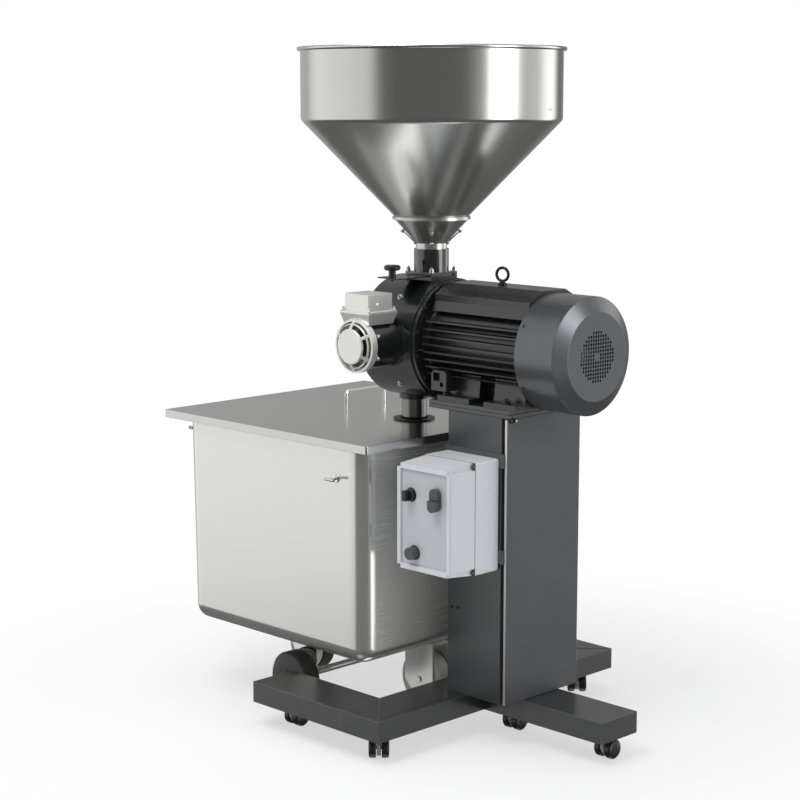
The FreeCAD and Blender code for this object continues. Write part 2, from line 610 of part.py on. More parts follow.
def motor_frame():
    barrel = cylinder("frame_barrel", "barrel_radius", "frame_length", ("frame_x", "0", "axis_z"), "x")
    # The flat-sided saddle on top carries the terminal box and the lifting eye.
    half = [("saddle_half", "saddle_low"), ("saddle_shoulder_half", "saddle_waist"),
            ("saddle_shoulder_half", "saddle_shoulder"), ("saddle_step_half", "saddle_step"),
            ("saddle_top_half", "saddle_top")]
    section = half + [(f"0 - {y}", z) for y, z in reversed(half)]
    saddle = padded("frame_saddle", section, "frame_length - 2 * saddle_inset",
                    ("frame_x + saddle_inset", "0", "axis_z"), role="YZ_Plane")
    whole = fused("frame_whole", [barrel, fin_stack(), saddle] + motor_feet() + cowl_lugs())
    holes = []
    for side, name in ((-1, "near"), (1, "far")):
        for end in ("front", "back"):
            start = "foot_front" if end == "front" else "foot_rear"
            holes.append(cylinder(f"{name}_foot_hole_{end}", "foot_hole", "foot_rise",
                                  (f"{start} + foot_bolt_{end}", f"{side} * foot_bolt_y", "plate_top - past")))
    bore = cylinder("frame_bore", "bore_radius", "frame_length - 2 * frame_end_wall",
                    ("frame_x + frame_end_wall", "0", "axis_z"), "x")
    passage = cylinder("frame_passage", "shaft_radius + fit_clear", "2 * frame_length",
                       ("frame_x - frame_length / 2", "0", "axis_z"), "x")
    node("motor_frame", without("motor_frame_solid", whole, [bore, passage] + holes))


def motor_flange():
    hole = "shaft_radius + fit_clear"
    flange = turned("motor_flange_body", [
        (hole, "0"), ("flange_radius", "0"), ("flange_radius", "flange_rim"),
        ("flange_neck", "flange_rim"), ("barrel_radius", "frame_x - flange_x"),
        (hole, "frame_x - flange_x")],
        ("flange_x", "0", "axis_z"), "x")
    node("motor_flange", flange)


def grille_holes():
    # Square holes in rows, kept inside a circle and clear of the blank middle.
    pitch = size("grille_pitch")
    side = size("grille_hole")
    reach = int(size("grille_radius") // pitch) + 1
    depth = 4 * size("cowl_wall")
    start = size("cowl_x") + size("cowl_straight") + size("cowl_chamfer") - 3 * size("cowl_wall")
    holes = []
    for row in range(-reach, reach):
        for column_index in range(-reach, reach):
            y = (column_index + 0.5) * pitch
            z = (row + 0.5) * pitch
            if math.hypot(y, z) > size("grille_radius"):
                continue
            if max(abs(y), abs(z)) < size("grille_blank"):
                continue
            holes.append(Part.makeBox(depth, side, side,
                                      Vector(start, y - side / 2, size("axis_z") + z - side / 2)))
    return made("grille_holes", Part.makeCompound(holes))


def fan_cowl():
    length = "cowl_straight + cowl_chamfer"
    cowl = turned("cowl_body", [
        ("cowl_inner", "0"), ("cowl_radius", "0"), ("cowl_radius", "cowl_straight"),
        ("cowl_face", length), ("0", length), ("0", f"{length} - cowl_wall"),
        ("cowl_face - cowl_wall", f"{length} - cowl_wall"),
        ("cowl_inner", "cowl_straight - cowl_wall / 2")],
        ("cowl_x", "0", "axis_z"), "x")
    node("fan_cowl", without("fan_cowl_solid", cowl, [grille_holes()]))


def terminal_box():
    # A body and a lid with a narrow step between them, on the saddle's far side.
    low = box("terminal_body", ("terminal_length", "terminal_reach - terminal_lid", "terminal_tall"),
              ("terminal_x", "terminal_y", "axis_z + terminal_low"))
    lid = box("terminal_cover", ("terminal_length + 2 * terminal_lip", "terminal_lid",
                                 "terminal_tall + 2 * terminal_lip"),
              ("terminal_x - terminal_lip", "terminal_y + terminal_reach - terminal_lid",
               "axis_z + terminal_low - terminal_lip"))
    whole = fused("terminal_whole", [low, lid])
    seat = [doc.getObject("frame_saddle"), doc.getObject("fin_envelope")]
    node("motor_terminal_box", without("terminal_solid", whole, seat))


def eye_bolt():
    top = "axis_z + saddle_top"
    collar = cylinder("eye_collar_disc", "eye_collar", "eye_collar_tall", ("eye_x", "0", top))
    shank = cylinder("eye_stem", "eye_shank", "eye_shank_tall", ("eye_x", "0", top))
    ring = torus("eye_loop", "eye_ring", "eye_wire",
                 ("eye_x", "0", f"{top} + eye_shank_tall + eye_ring"),
                 Rotation(Vector(0, 0, 1), size("eye_turn")).multiply(LAY["y"]))
    node("eye_bolt", fused("eye_bolt_solid", [collar, shank, ring]))


def worm():
    # The feed worm's flight: a flat section swept along a helix about the shaft.
    inner = size("shaft_radius") - size("worm_root")
    outer = size("worm_radius")
    half = size("worm_thick") / 2
    pitch = size("worm_pitch")
    helix = Part.makeHelix(pitch, pitch * size("worm_turns"), outer)
    section = Part.makePolygon([Vector(inner, 0, -half), Vector(outer, 0, -half), Vector(outer, 0, half),
                                Vector(inner, 0, half), Vector(inner, 0, -half)])
    flight = made("worm_flight", Part.Wire(helix.Edges).makePipeShell([section], True, True))
    return place(flight, "worm_x + worm_thick / 2", "0", "axis_z", "x")


def rotor():
    disc_end = "grind_x - disc_back - disc_nut"
    shaft = turned("shaft_body", [
        ("0", disc_end), ("disc_seat_radius", disc_end), ("disc_seat_radius", "grind_x"),
        ("shaft_radius", "grind_x"), ("shaft_radius", "rotor_x"), ("rotor_radius", "rotor_x"),
        ("rotor_radius", "rotor_x + rotor_length"), ("shaft_radius", "rotor_x + rotor_length"),
        ("shaft_radius", "shaft_tail_x"), ("0", "shaft_tail_x")],
        ("0", "0", "axis_z"), "x")
    node("rotor_shaft", fused("rotor_shaft_solid", [shaft, worm()]))


def cooling_fan():
    hub = turned("fan_hub_body", [
        ("shaft_radius", "0"), ("fan_hub", "0"), ("fan_hub", "fan_width - fan_disc"),
        ("fan_plate_radius", "fan_width - fan_disc"), ("fan_plate_radius", "fan_width"),
        ("shaft_radius", "fan_width")], ("fan_x", "0", "axis_z"), "x")
    blade = box("fan_blade", ("fan_width", "fan_blade_thick", "fan_radius - fan_hub + fan_blade_root"),
                ("fan_x", "0 - fan_blade_thick / 2", "axis_z + fan_hub - fan_blade_root"))
    blades = around("fan_blades_round", blade, int(size("fan_blades")), 0, size("axis_z"), "x")
    node("cooling_fan", fused("cooling_fan_solid", [hub, blades]))


def disc_grooves(name, x, depth):
    # Straight grinding grooves, set off the radius so that facing discs shear.
    reach = "disc_radius - disc_groove_inner + disc_groove_width"
    groove = box(name + "_one", (depth, "disc_groove_width", reach),
                 (x, "disc_groove_width", "axis_z + disc_groove_inner"))
    return around(name, groove, int(size("disc_grooves")), 0, size("axis_z"), "x")


def discs():
    turning = turned("turning_disc", [
        ("disc_seat_radius", "0 - disc_back"), ("disc_hub_radius", "0 - disc_back"),
        ("disc_hub_radius", "0 - disc_thick"), ("disc_radius", "0 - disc_thick"),
        ("disc_radius", "0"), ("barrel_inner", "0"), ("barrel_inner", "0 - disc_groove_depth"),
        ("disc_seat_radius", "0 - disc_groove_depth")],
        ("grind_x", "0", "axis_z"), "x")
    grooves = disc_grooves("turning_grooves", "grind_x - disc_groove_depth", "2 * disc_groove_depth")
    node("rotating_disc", without("rotating_disc_solid", turning, [grooves]))
    face = "grind_x + disc_gap"
    still = turned("still_disc", [
        ("barrel_inner", "0"), ("disc_radius", "0"), ("disc_radius", "disc_thick"),
        ("sleeve_outer", "disc_thick"), ("sleeve_outer", f"sleeve_end_x - ({face})"),
        ("sleeve_inner", f"sleeve_end_x - ({face})"), ("sleeve_inner", "disc_thick"),
        ("barrel_inner", "disc_thick")],
        (face, "0", "axis_z"), "x")
    grooves = disc_grooves("still_grooves", f"{face} - disc_groove_depth", "2 * disc_groove_depth")
    node("stationary_disc", without("stationary_disc_solid", still, [grooves]))


def tooth_section(half_root, half_tip, low, high):
    return Part.Face(Part.makePolygon([
        Vector(-half_root, low, 0), Vector(half_root, low, 0), Vector(half_tip, high, 0),
        Vector(-half_tip, high, 0), Vector(-half_root, low, 0)]))


def tooth_halves():
    # Half widths of a straight-flanked tooth at its root and its tip.
    module = size("gear_module")
    middle = module * math.pi / 4 - size("tooth_clear")
    slope = math.tan(math.radians(size("pressure_angle")))
    return middle + size("tooth_foot") * module * slope, middle - module * slope


def adjusting_ring():
    # A crown gear: radial teeth on the face that looks towards the motor.
    body = turned("ring_body", [
        ("sleeve_outer + slide_clear", "ring_front_x"), ("crown_outer", "ring_front_x"),
        ("crown_outer", "crown_root_x"), ("sleeve_outer + slide_clear", "crown_root_x")],
        ("0", "0", "axis_z"), "x")
    root, tip = tooth_halves()
    module = size("gear_module")
    face = tooth_section(root, tip, -size("tooth_root"), (1 + size("tooth_foot")) * module)
    tooth = face.extrude(Vector(0, 0, size("gear_face")))
    tooth.rotate(Vector(), Vector(0, 0, 1), -90)
    tooth.translate(Vector(size("crown_root_x"), 0, size("axis_z") + size("crown_inner")))
    teeth = around("ring_teeth_round", made("ring_tooth", tooth), int(size("ring_teeth")),
                   0, size("axis_z"), "x")
    node("adjusting_ring", fused("adjusting_ring_solid", [body, teeth]))


def adjust_pinion():
    module = size("gear_module")
    pitch_radius = module * size("pinion_teeth") / 2
    foot_radius = pitch_radius - size("tooth_foot") * module
    blank = cylinder("pinion_blank", "gear_module * (pinion_teeth / 2 - tooth_foot)", "gear_face",
                     ("0", "0 - crown_outer", "axis_z"), "y")
    shaft = cylinder("pinion_shaft", "pinion_shaft_radius",
                     "gear_seat + pinion_depth - crown_inner + pinion_overlap",
                     ("0", "0 - gear_seat - pinion_depth", "axis_z"), "y")
    root, tip = tooth_halves()
    face = tooth_section(root, tip, foot_radius - size("tooth_root"), pitch_radius + module)
    tooth = face.extrude(Vector(0, 0, size("gear_face")))
    tooth.rotate(Vector(), Vector(1, 0, 0), 90)
    tooth.translate(Vector(0, -size("crown_inner"), size("axis_z")))
    # Half a pitch of turn puts a gap of the pinion on the crown tooth that it meets.
    tooth.rotate(Vector(0, 0, size("axis_z")), Vector(0, 1, 0), -90 + 180 / size("pinion_teeth"))
    teeth = around("pinion_teeth_round", made("pinion_tooth", tooth), int(size("pinion_teeth")),
                   0, size("axis_z"), "y")
    node("adjust_pinion", fused("adjust_pinion_solid", [blank, shaft, teeth]))


def beans_duct(name, wall, top):
    # The beans' duct narrows past the adjusting ring on its way to the feed barrel.
    narrow = f"duct_narrow_x - {wall}"
    return padded(name, [
        (f"0 - duct_half_x - {wall}", top), (f"duct_half_x + {wall}", top),
        (f"duct_half_x + {wall}", "duct_foot"), (narrow, "duct_foot"),
        (narrow, f"duct_step_low + duct_wall - {wall}"),
        (f"0 - duct_half_x - {wall}", f"duct_step_high + duct_wall - {wall}")],
        f"2 * duct_half_y + 2 * {wall}", ("0", "0", "axis_z"), role="XZ_Plane", middle=True)


def mill_housing():
    drum_length = "flange_x - drum_front_x"
    wall_inner = "drum_radius - drum_wall"
    front = "barrel_front_x - drum_front_x"
    drum = turned("drum_body", [
        (wall_inner, "0"), ("drum_radius", "0"), ("drum_radius", drum_length),
        ("shaft_radius + fit_clear", drum_length), ("shaft_radius + fit_clear", f"{drum_length} - rear_wall"),
        ("barrel_inner", f"{drum_length} - rear_wall"), ("barrel_inner", front), ("barrel_outer", front),
        ("barrel_outer", f"{drum_length} - rear_wall"), (wall_inner, f"{drum_length} - rear_wall")],
        ("drum_front_x", "0", "axis_z"), "x")
    flange = box("inlet_flange", ("2 * inlet_half", "2 * inlet_half", "inlet_thick + inlet_low - inlet_root"),
                 ("0 - inlet_half", "0 - inlet_half", "axis_z + inlet_root"))
    duct = beans_duct("duct_outer", "duct_wall", "inlet_root")
    bore = beans_duct("duct_inner", "0", wall_inner)
    throat = cylinder("housing_throat", "throat_radius", "inlet_low + inlet_thick",
                      ("0", "0", f"axis_z + {wall_inner} - throat_root"))
    inside = cylinder("drum_inside", wall_inner, drum_length, ("drum_front_x - rear_wall", "0", "axis_z"), "x")
    chute_boss = cylinder("chute_boss_solid", "chute_boss", "chute_boss_low - chute_boss_root",
                          ("chute_x", "0", "axis_z - chute_boss_low"))
    front_trim = box("chute_boss_front", ("2 * chute_boss", "2 * chute_boss", "2 * chute_boss"),
                     ("drum_front_x - 2 * chute_boss", "0 - chute_boss", "axis_z - chute_boss_low"))
    chute_outside = without("chute_boss_outside", chute_boss, [inside, front_trim])
    gear_pad = cylinder("gear_pad_solid", "gear_pad", "gear_seat - gear_pad_low",
                        ("0", "0 - gear_seat", "axis_z"), "y")
    pad_trim = cylinder("gear_pad_trim", wall_inner, "2 * gear_pad", ("0 - gear_pad", "0", "axis_z"), "x")
    pad_outside = without("gear_pad_outside", gear_pad, [pad_trim])
    body = fused("housing_whole", [drum, flange, duct, chute_outside, pad_outside])
    chute_hole = cylinder("chute_bore", "chute_radius + chute_fit", "chute_boss_low - barrel_outer",
                          ("chute_x", "0", "axis_z - chute_boss_low - past"))
    feed_bore = cylinder("feed_bore", "barrel_inner", f"{drum_length} - rear_wall - ({front})",
                         ("barrel_front_x", "0", "axis_z"), "x")
    pinion_bore = cylinder("pinion_bore", "pinion_shaft_radius + fit_clear", "gear_seat",
                           ("0", "0 - gear_seat - past", "axis_z"), "y")
    pad_face = cylinder("gear_pad_face", "gear_pad", "gear_pad",
                        ("0", "0 - gear_seat - gear_pad", "axis_z"), "y")
    tools = [bore, throat, chute_hole, pinion_bore, feed_bore, pad_face] + bolt_holes()
    node("mill_housing", without("mill_housing_solid", body, tools))


def bolt_places():
    # The four upright bolts stand at the inlet's corners.
    reach = "(inlet_half - bolt_inset)"
    return [(f"{a} * {reach}", f"{b} * {reach}") for a in (-1, 1) for b in (-1, 1)]


def bolt_holes():
    holes = []
    for i, (x, y) in enumerate(bolt_places()):
        holes.append(cylinder(f"bolt_hole_{i}", "bolt_radius", "bolt_grip + past",
                              (x, y, "flange_top - bolt_grip")))
    return holes


def radial_bolt(quarter):
    # A bolt head on the drum's outside, turned from the top towards +Y.
    turn = f"((radial_bolt_turn + {quarter} * 90) * 1 deg)"
    return cylinder(f"radial_bolt_{quarter}", "bolt_head", "bolt_head_thick",
                    ("0", f"sin{turn} * drum_radius", f"axis_z + cos{turn} * drum_radius"),
                    Rotation(Vector(1, 0, 0), -size("radial_bolt_turn") - 90 * quarter))


def mill_bolts():
    bolts = []
    for i, (x, y) in enumerate(bolt_places()):
        shank = cylinder(f"bolt_shank_{i}", "bolt_radius", "bolt_grip + cap_top - flange_top",
                         (x, y, "flange_top - bolt_grip"))
        head = cylinder(f"bolt_head_{i}", "bolt_head", "cap_bolt_tall", (x, y, "cap_top"))
        bolts.append(fused(f"bolt_{i}", [shank, head]))
    for quarter in range(4):
        bolts.append(radial_bolt(quarter))
    group = doc.addObject("Part::Compound", "mill_bolts_group")
    group.Links = bolts
    node("mill_bolts", group)


def mill_cover():
    cover = turned("mill_cover_body", [
        ("0", "0 - cover_plate - cover_boss_thick"), ("cover_boss", "0 - cover_plate - cover_boss_thick"),
        ("cover_boss", "0 - cover_plate"), ("drum_radius", "0 - cover_plate"), ("drum_radius", "0"),
        ("0", "0")], ("drum_front_x", "0", "axis_z"), "x")
    doc.recompute()
    rounded(cover, "cover_edge", circle_at(size("drum_radius"), -size("cover_plate")))
    node("mill_cover", cover)


def inlet_collar():
    # The inlet's cap: a square plate with the gate's slot under it, and the collar for the hopper.
    cap = box("cap_plate", ("2 * inlet_half", "2 * inlet_half", "cap_top - cap_low"),
              ("0 - inlet_half", "0 - inlet_half", "cap_low"))
    sides = ("2 * (gate_half + gate_clear)", "inlet_half + gate_overlap + gate_clear", "slot_tall")
    slot = box("cap_slot", sides, ("0 - gate_half - gate_clear", "0 - inlet_half", "cap_low"))
    root = "(cap_thick / 2)"
    collar = cylinder("cap_collar", "collar_radius", f"flange_top + collar_tall - cap_top + {root}",
                      ("0", "0", f"cap_top - {root}"))
    neck = cylinder("cap_bore", "neck_radius + neck_clear", "2 * collar_tall", ("0", "0", "neck_end"))
    throat = cylinder("cap_throat", "throat_radius", "2 * collar_tall", ("0", "0", "cap_low - past"))
    holes = []
    for i, (x, y) in enumerate(bolt_places()):
        holes.append(cylinder(f"cap_bolt_hole_{i}", "bolt_radius", "cap_top - cap_low + 2 * past",
                              (x, y, "cap_low - past")))
    whole = fused("cap_whole", [cap, collar])
    node("inlet_collar", without("inlet_collar_solid", whole, [slot, neck, throat] + holes))


def slide_gate():
    # A flat blade that slides out towards -Y, with a round knob on a stud through its outer end.
    low = "(flange_top + gate_clear)"
    top = f"({low} + gate_thick)"
    knob_y = "0 - gate_knob_reach"
    blade = box("gate_blade", ("2 * gate_half", "gate_reach + gate_overlap", "gate_thick"),
                ("0 - gate_half", "0 - gate_reach", low))
    hole = cylinder("gate_stud_hole", "gate_stud + fit_clear", "gate_thick + 2 * past",
                    ("0", knob_y, f"{low} - past"))
    node("slide_gate", without("slide_gate_solid", blade, [hole]))
    knob = turned("gate_knob_body", [
        ("0", "0 - gate_thick - gate_stud_tall"), ("gate_stud", "0 - gate_thick - gate_stud_tall"),
        ("gate_stud", "0"), ("gate_neck_radius", "0"), ("gate_neck_radius", "gate_neck_tall"),
        ("gate_knob_radius - gate_knob_edge", "gate_neck_tall"),
        ("gate_knob_radius", "gate_neck_tall + gate_knob_edge"),
        ("gate_knob_radius", "gate_neck_tall + gate_knob_head - gate_knob_edge"),
        ("gate_knob_radius - gate_knob_edge", "gate_neck_tall + gate_knob_head"),
        ("0", "gate_neck_tall + gate_knob_head")], ("0", knob_y, top))
    node("gate_knob", knob)


def outlet_chute():
    inner = "chute_radius - chute_wall"
    tube = turned("chute_body", [
        (inner, "chute_end"), ("chute_radius", "chute_end"), ("chute_radius", "chute_top"),
        (inner, "chute_top")], ("chute_x", "0", "0"))
    node("outlet_chute", tube)


def gear_motor():
    body = turned("gear_body", [
        ("0", "gear_seat"), ("gear_radius", "gear_seat"), ("gear_radius", "gear_end"), ("0", "gear_end")],
        ("0", "0", "axis_z"), "-y")
    hollow = cylinder("gear_hollow", "pinion_shaft_radius + fit_clear", "pinion_depth + 2 * past",
                      ("0", "0 - gear_seat - pinion_depth - past", "axis_z"), "y")
    node("gearmotor_body", without("gearmotor_body_solid", body, [hollow]))
    fan_cover()


def fan_cover():
    # The gear motor's fan cover: a rim, a sloping ring with two rows of slots between spokes, and a
    # round middle that stands out.
    wall = "gear_cover_wall"
    seat = "gear_radius - 2 * gear_cover_wall"
    inner = "gear_cover_radius - gear_cover_wall"
    ledge = f"gear_cover_ledge - {wall}"
    cup = turned("gear_cup", [
        (seat, "gear_end"), ("gear_cover_radius", "gear_end"), ("gear_cover_radius", "gear_rim_end"),
        ("gear_cover_ledge", "gear_rim_end"), ("gear_cover_disc", "gear_face_end"), ("0", "gear_face_end"),
        ("0", f"gear_face_end - {wall}"), (f"gear_cover_disc - {wall} / 2", f"gear_face_end - {wall}"),
        (ledge, f"gear_rim_end - {wall}"), (inner, f"gear_rim_end - {wall}"),
        (inner, f"gear_end + {wall}"), (seat, f"gear_end + {wall}")],
        ("0", "0", "axis_z"), "-y")
    rings = []
    for which in ("inner", "outer"):
        low = f"slot_{which}_low"
        high = f"slot_{which}_high"
        rings.append(turned(f"slot_ring_{which}", [
            (low, f"gear_rim_end - 2 * {wall}"), (high, f"gear_rim_end - 2 * {wall}"),
            (high, "gear_face_end + past"), (low, "gear_face_end + past")],
            ("0", "0", "axis_z"), "-y"))
    spoke = box("slot_spoke", ("gear_spoke", "gear_cover_dome + 4 * gear_cover_wall", "gear_cover_radius"),
                ("0 - gear_spoke / 2", "0 - gear_face_end - gear_cover_wall", "axis_z"))
    spokes = around("slot_spokes", spoke, int(size("gear_spokes")), 0, size("axis_z"), "y")
    slots = without("cover_slots", fused("slot_rings", rings), [spokes])
    node("gearmotor_cover", without("gearmotor_cover_solid", cup, [slots]))


def gearmotor_box():
    # The gear motor's terminal box: a flared foot under a drafted lid whose corners are grooved for
    # the screws, with a knock-out on one side.
    middle = "0 - gear_box_out"
    foot_z = "axis_z + gear_box_rise - gear_box_base"
    lid_z = "axis_z + gear_box_rise"
    slabs = []
    for name, role, half in (("front", "XZ_Plane", "gear_box_half"), ("side", "YZ_Plane", "gear_box_half_y")):
        wide = f"{half} + gear_box_flare"
        foot = f"gear_box_foot + {half} - gear_box_half"
        section = [(f"0 - ({foot})", "0"), (foot, "0"), (wide, "gear_box_base - gear_box_rim"),
                   (wide, "gear_box_base"), (f"0 - ({wide})", "gear_box_base"),
                   (f"0 - ({wide})", "gear_box_base - gear_box_rim")]
        slabs.append(padded(f"gear_box_{name}", section, "4 * gear_box_half", ("0", middle, foot_z),
                            role=role, middle=True))
    taper = shared("gear_box_base_solid", slabs[0], slabs[1])
    lid = doc.addObject("PartDesign::Body", "gear_box_lid")
    pad = lid.newObject("PartDesign::Pad", "gear_box_lid_pad")
    pad.Profile = outline(lid, "gear_box_lid_profile", [
        ("0 - gear_box_half", "0 - gear_box_half_y"), ("gear_box_half", "0 - gear_box_half_y"),
        ("gear_box_half", "gear_box_half_y"), ("0 - gear_box_half", "gear_box_half_y")], "XY_Plane")
    bind(pad, "Length", "gear_box_tall")
    bind(pad, "TaperAngle", "0 - gear_box_draft")
    place(lid, "0", middle, lid_z)
    grooves = []
    for i, (a, b) in enumerate(((-1, -1), (1, -1), (1, 1), (-1, 1))):
        grooves.append(cylinder(f"gear_box_groove_{i}", "gear_box_groove", "gear_box_tall",
                                (f"{a} * gear_box_half", f"{middle} + {b} * gear_box_half_y",
                                 f"{lid_z} + gear_box_groove")))
    knockout = cylinder("gear_box_knockout", "knockout_radius", "gear_box_half",
                        ("gear_box_half - knockout_depth", "0 - knockout_out", f"{lid_z} + knockout_rise"), "x")
    whole = fused("gear_box_whole", [taper, lid])
    seat = cylinder("gear_box_seat", "gear_radius", "gear_end",
                    ("0", "0 - gear_seat - gear_end", "axis_z"), "y")
    rim = cylinder("gear_box_rim_cut", "gear_cover_radius + fit_clear", "gear_end",
                   ("0", "0 - 2 * gear_end", "axis_z"), "y")
    drum = cylinder("gear_box_drum_cut", "drum_radius", "4 * gear_box_half",
                    ("0 - 2 * gear_box_half", "0", "axis_z"), "x")
    node("gearmotor_box", without("gearmotor_box_solid", whole, [seat, rim, drum, knockout] + grooves))


def hopper():
    foot_inner = "hopper_foot_radius - cone_sheet"
    bowl = turned("bowl_body", [
        ("hopper_radius", "hopper_top"), ("hopper_radius", "hopper_shoulder"),
        ("hopper_foot_radius", "hopper_foot + lip_thick"), ("lip_radius", "hopper_foot + lip_thick"),
        ("lip_radius", "hopper_foot"), (foot_inner, "hopper_foot"),
        (foot_inner, "hopper_foot + lip_thick"),
        ("hopper_radius - sheet", "hopper_shoulder + cone_sheet - sheet"),
        ("hopper_radius - sheet", "hopper_top")])
    doc.recompute()
    rounded(bowl, "hopper_bend", circle_at(size("hopper_radius"), size("hopper_shoulder")))
    inner_height = size("hopper_shoulder") + size("cone_sheet") - size("sheet")
    rounded(bowl, "hopper_bend - sheet", circle_at(size("hopper_radius") - size("sheet"), inner_height))
    rim = torus("bowl_rim", "hopper_radius + hopper_rim - sheet / 2", "hopper_rim",
                ("0", "0", "hopper_top - hopper_rim"))
    node("hopper_bowl", fused("hopper_bowl_solid", [bowl, rim]))
    funnel_lip = "hopper_foot - lip_thick"
    funnel = turned("funnel_body", [
        ("lip_radius", "hopper_foot"), ("lip_radius", funnel_lip),
        ("hopper_foot_radius", funnel_lip), ("neck_radius", "funnel_low"), ("neck_radius", "neck_end"),
        ("neck_radius - sheet", "neck_end"), ("neck_radius - sheet", "funnel_low + sheet"),
        (foot_inner, funnel_lip), (foot_inner, "hopper_foot")])
    node("hopper_funnel", funnel)


def tapered_block(name, inset):
    # A block with rounded corners and a rounded bottom edge that narrows downwards.
    half_length = f"tub_length / 2 - {inset}"
    half_width = f"tub_half - {inset}"
    body = doc.addObject("PartDesign::Body", name)
    profile = outline(body, name + "_profile", [
        (f"0 - ({half_length})", f"0 - ({half_width})"), (half_length, f"0 - ({half_width})"),
        (half_length, half_width), (f"0 - ({half_length})", half_width)], "XY_Plane")
    pad = body.newObject("PartDesign::Pad", name + "_pad")
    pad.Profile = profile
    pad.Reversed = True
    bind(pad, "Length", f"tub_top - tub_low - {inset}")
    bind(pad, "TaperAngle", "0 - tub_taper")
    doc.recompute()
    foot = -pad.Length.Value
    rounded(body, f"tub_corner - {inset}", lambda edge: abs(edge.tangentAt(edge.FirstParameter).z) > 0.9)
    rounded(body, f"tub_bottom_bend - {inset}", lambda edge: abs(edge.CenterOfMass.z - foot) < 0.01)
    return place(body, "tub_front_x + tub_length / 2", "0", "tub_top")


def bin_tub():
    # A deep tub made from sheet, with a hole for the catch's spindle.
    spindle = cylinder("tub_spindle_hole", "catch_stem + fit_clear", "tub_half / 2",
                       ("catch_x", "0 - 1.2 * tub_half", "catch_z"), "y")
    inside = tapered_block("tub_inside", "tub_wall")
    node("bin_tub", without("bin_tub_solid", tapered_block("tub_outside", "0"), [inside, spindle]))


def lid_block(name, inset, low, tall):
    half = f"lid_half - {inset}"
    far = f"lid_length - {inset}"
    block = padded(name, [(inset, f"0 - ({half})"), (far, f"0 - ({half})"), (far, half), (inset, half)],
                   tall, ("lid_front_x", "0", low))
    return rounded(block, f"lid_corner - {inset}", lambda edge: along(edge, Vector(0, 0, 1)))


def bin_lid():
    # A flat lid folded down all round, with a hole for the chute and a rubber ring in the hole.
    outer = lid_block("lid_outer", "0", "lid_top - lid_skirt", "lid_skirt")
    inner = lid_block("lid_inner", "lid_wall", "lid_top - lid_skirt - past", "lid_skirt - lid_wall + past")
    hole = cylinder("lid_opening", "lid_hole", "2 * lid_skirt", ("chute_x", "0", "lid_top - lid_skirt"))
    node("bin_lid", without("bin_lid_solid", outer, [inner, hole]))
    inside = "lid_hole - lid_ring_clear"
    low = "0 - lid_wall - lid_ring_rise"
    ring = turned("lid_ring_body", [
        ("lid_ring_radius", low), (inside, low), (inside, "0"), ("lid_ring_flange", "0"),
        ("lid_ring_flange", "lid_ring_rise"), ("lid_ring_radius", "lid_ring_rise")],
        ("chute_x", "0", "lid_top"))
    node("lid_ring", ring)
    lid_handle()


def lid_handle():
    # A bent round wire: two legs, two quarter bends and a bar.
    wire = size("handle_wire")
    half = size("handle_half")
    tall = size("handle_tall") - wire
    bend = size("handle_bend")
    quarter = bend * math.sin(math.radians(45))
    start = Vector(0, -half, 0)
    path = Part.Wire([
        Part.LineSegment(start, Vector(0, -half, tall - bend)).toShape(),
        Part.Arc(Vector(0, -half, tall - bend), Vector(0, -half + bend - quarter, tall - bend + quarter),
                 Vector(0, -half + bend, tall)).toShape(),
        Part.LineSegment(Vector(0, -half + bend, tall), Vector(0, half - bend, tall)).toShape(),
        Part.Arc(Vector(0, half - bend, tall), Vector(0, half - bend + quarter, tall - bend + quarter),
                 Vector(0, half, tall - bend)).toShape(),
        Part.LineSegment(Vector(0, half, tall - bend), Vector(0, half, 0)).toShape()])
    section = Part.Wire([Part.Circle(start, Vector(0, 0, 1), wire).toShape()])
    bar = made("handle_bar", path.makePipeShell([section], True, False))
    node("lid_handle", place(bar, "handle_x", "handle_y", "lid_top"))


def bin_catch():
    # A tee handle on a spindle that passes through the tub's wall.
    rose = cylinder("catch_rose_disc", "catch_rose", "catch_rose_thick",
                    ("catch_x", "catch_face - catch_rose_thick", "catch_z"), "y")
    post = cylinder("catch_post", "catch_stem", "catch_reach + catch_inside",
                    ("catch_x", "catch_face - catch_reach", "catch_z"), "y")
    bar = cylinder("catch_tee", "catch_stem", "catch_bar",
                   ("catch_x - catch_bar / 2", "catch_face - catch_reach", "catch_z"), "x")
    node("bin_catch", fused("bin_catch_solid", [rose, post, bar]))


def bin_axle():
    # A round axle in two hanger plates that come down from the tub.
    end = "(wheel_y + wheel_width / 2 + axle_end)"
    rod = cylinder("axle_rod", "axle_radius", f"2 * {end}", ("axle_x", f"0 - {end}", "wheel_radius"), "y")
    pieces = [rod]
    for side, name in ((-1, "near"), (1, "far")):
        sides = ("2 * hanger_half", "hanger_wall", "tub_low - wheel_radius + hanger_low")
        corner = ("axle_x - hanger_half", f"{side} * hanger_y - hanger_wall / 2", "wheel_radius - hanger_low")
        pieces.append(box(f"{name}_hanger", sides, corner))
    node("bin_axle", fused("bin_axle_solid", pieces))


def wheel(name, corner, bore):
    # A tyre with a shallow dish in each side and a hub, turned about its axle along Y.
    half = "wheel_width / 2"
    side = [(bore, half), ("wheel_hub", half), ("wheel_hub", f"{half} - wheel_dish"),
            ("wheel_rim", f"{half} - wheel_dish"), ("wheel_rim", half),
            ("wheel_radius - wheel_edge", half), ("wheel_radius", f"{half} - wheel_edge")]
    other = [(radius, f"0 - ({height})") for radius, height in reversed(side)]
    return turned(name, side + other, corner, "y")


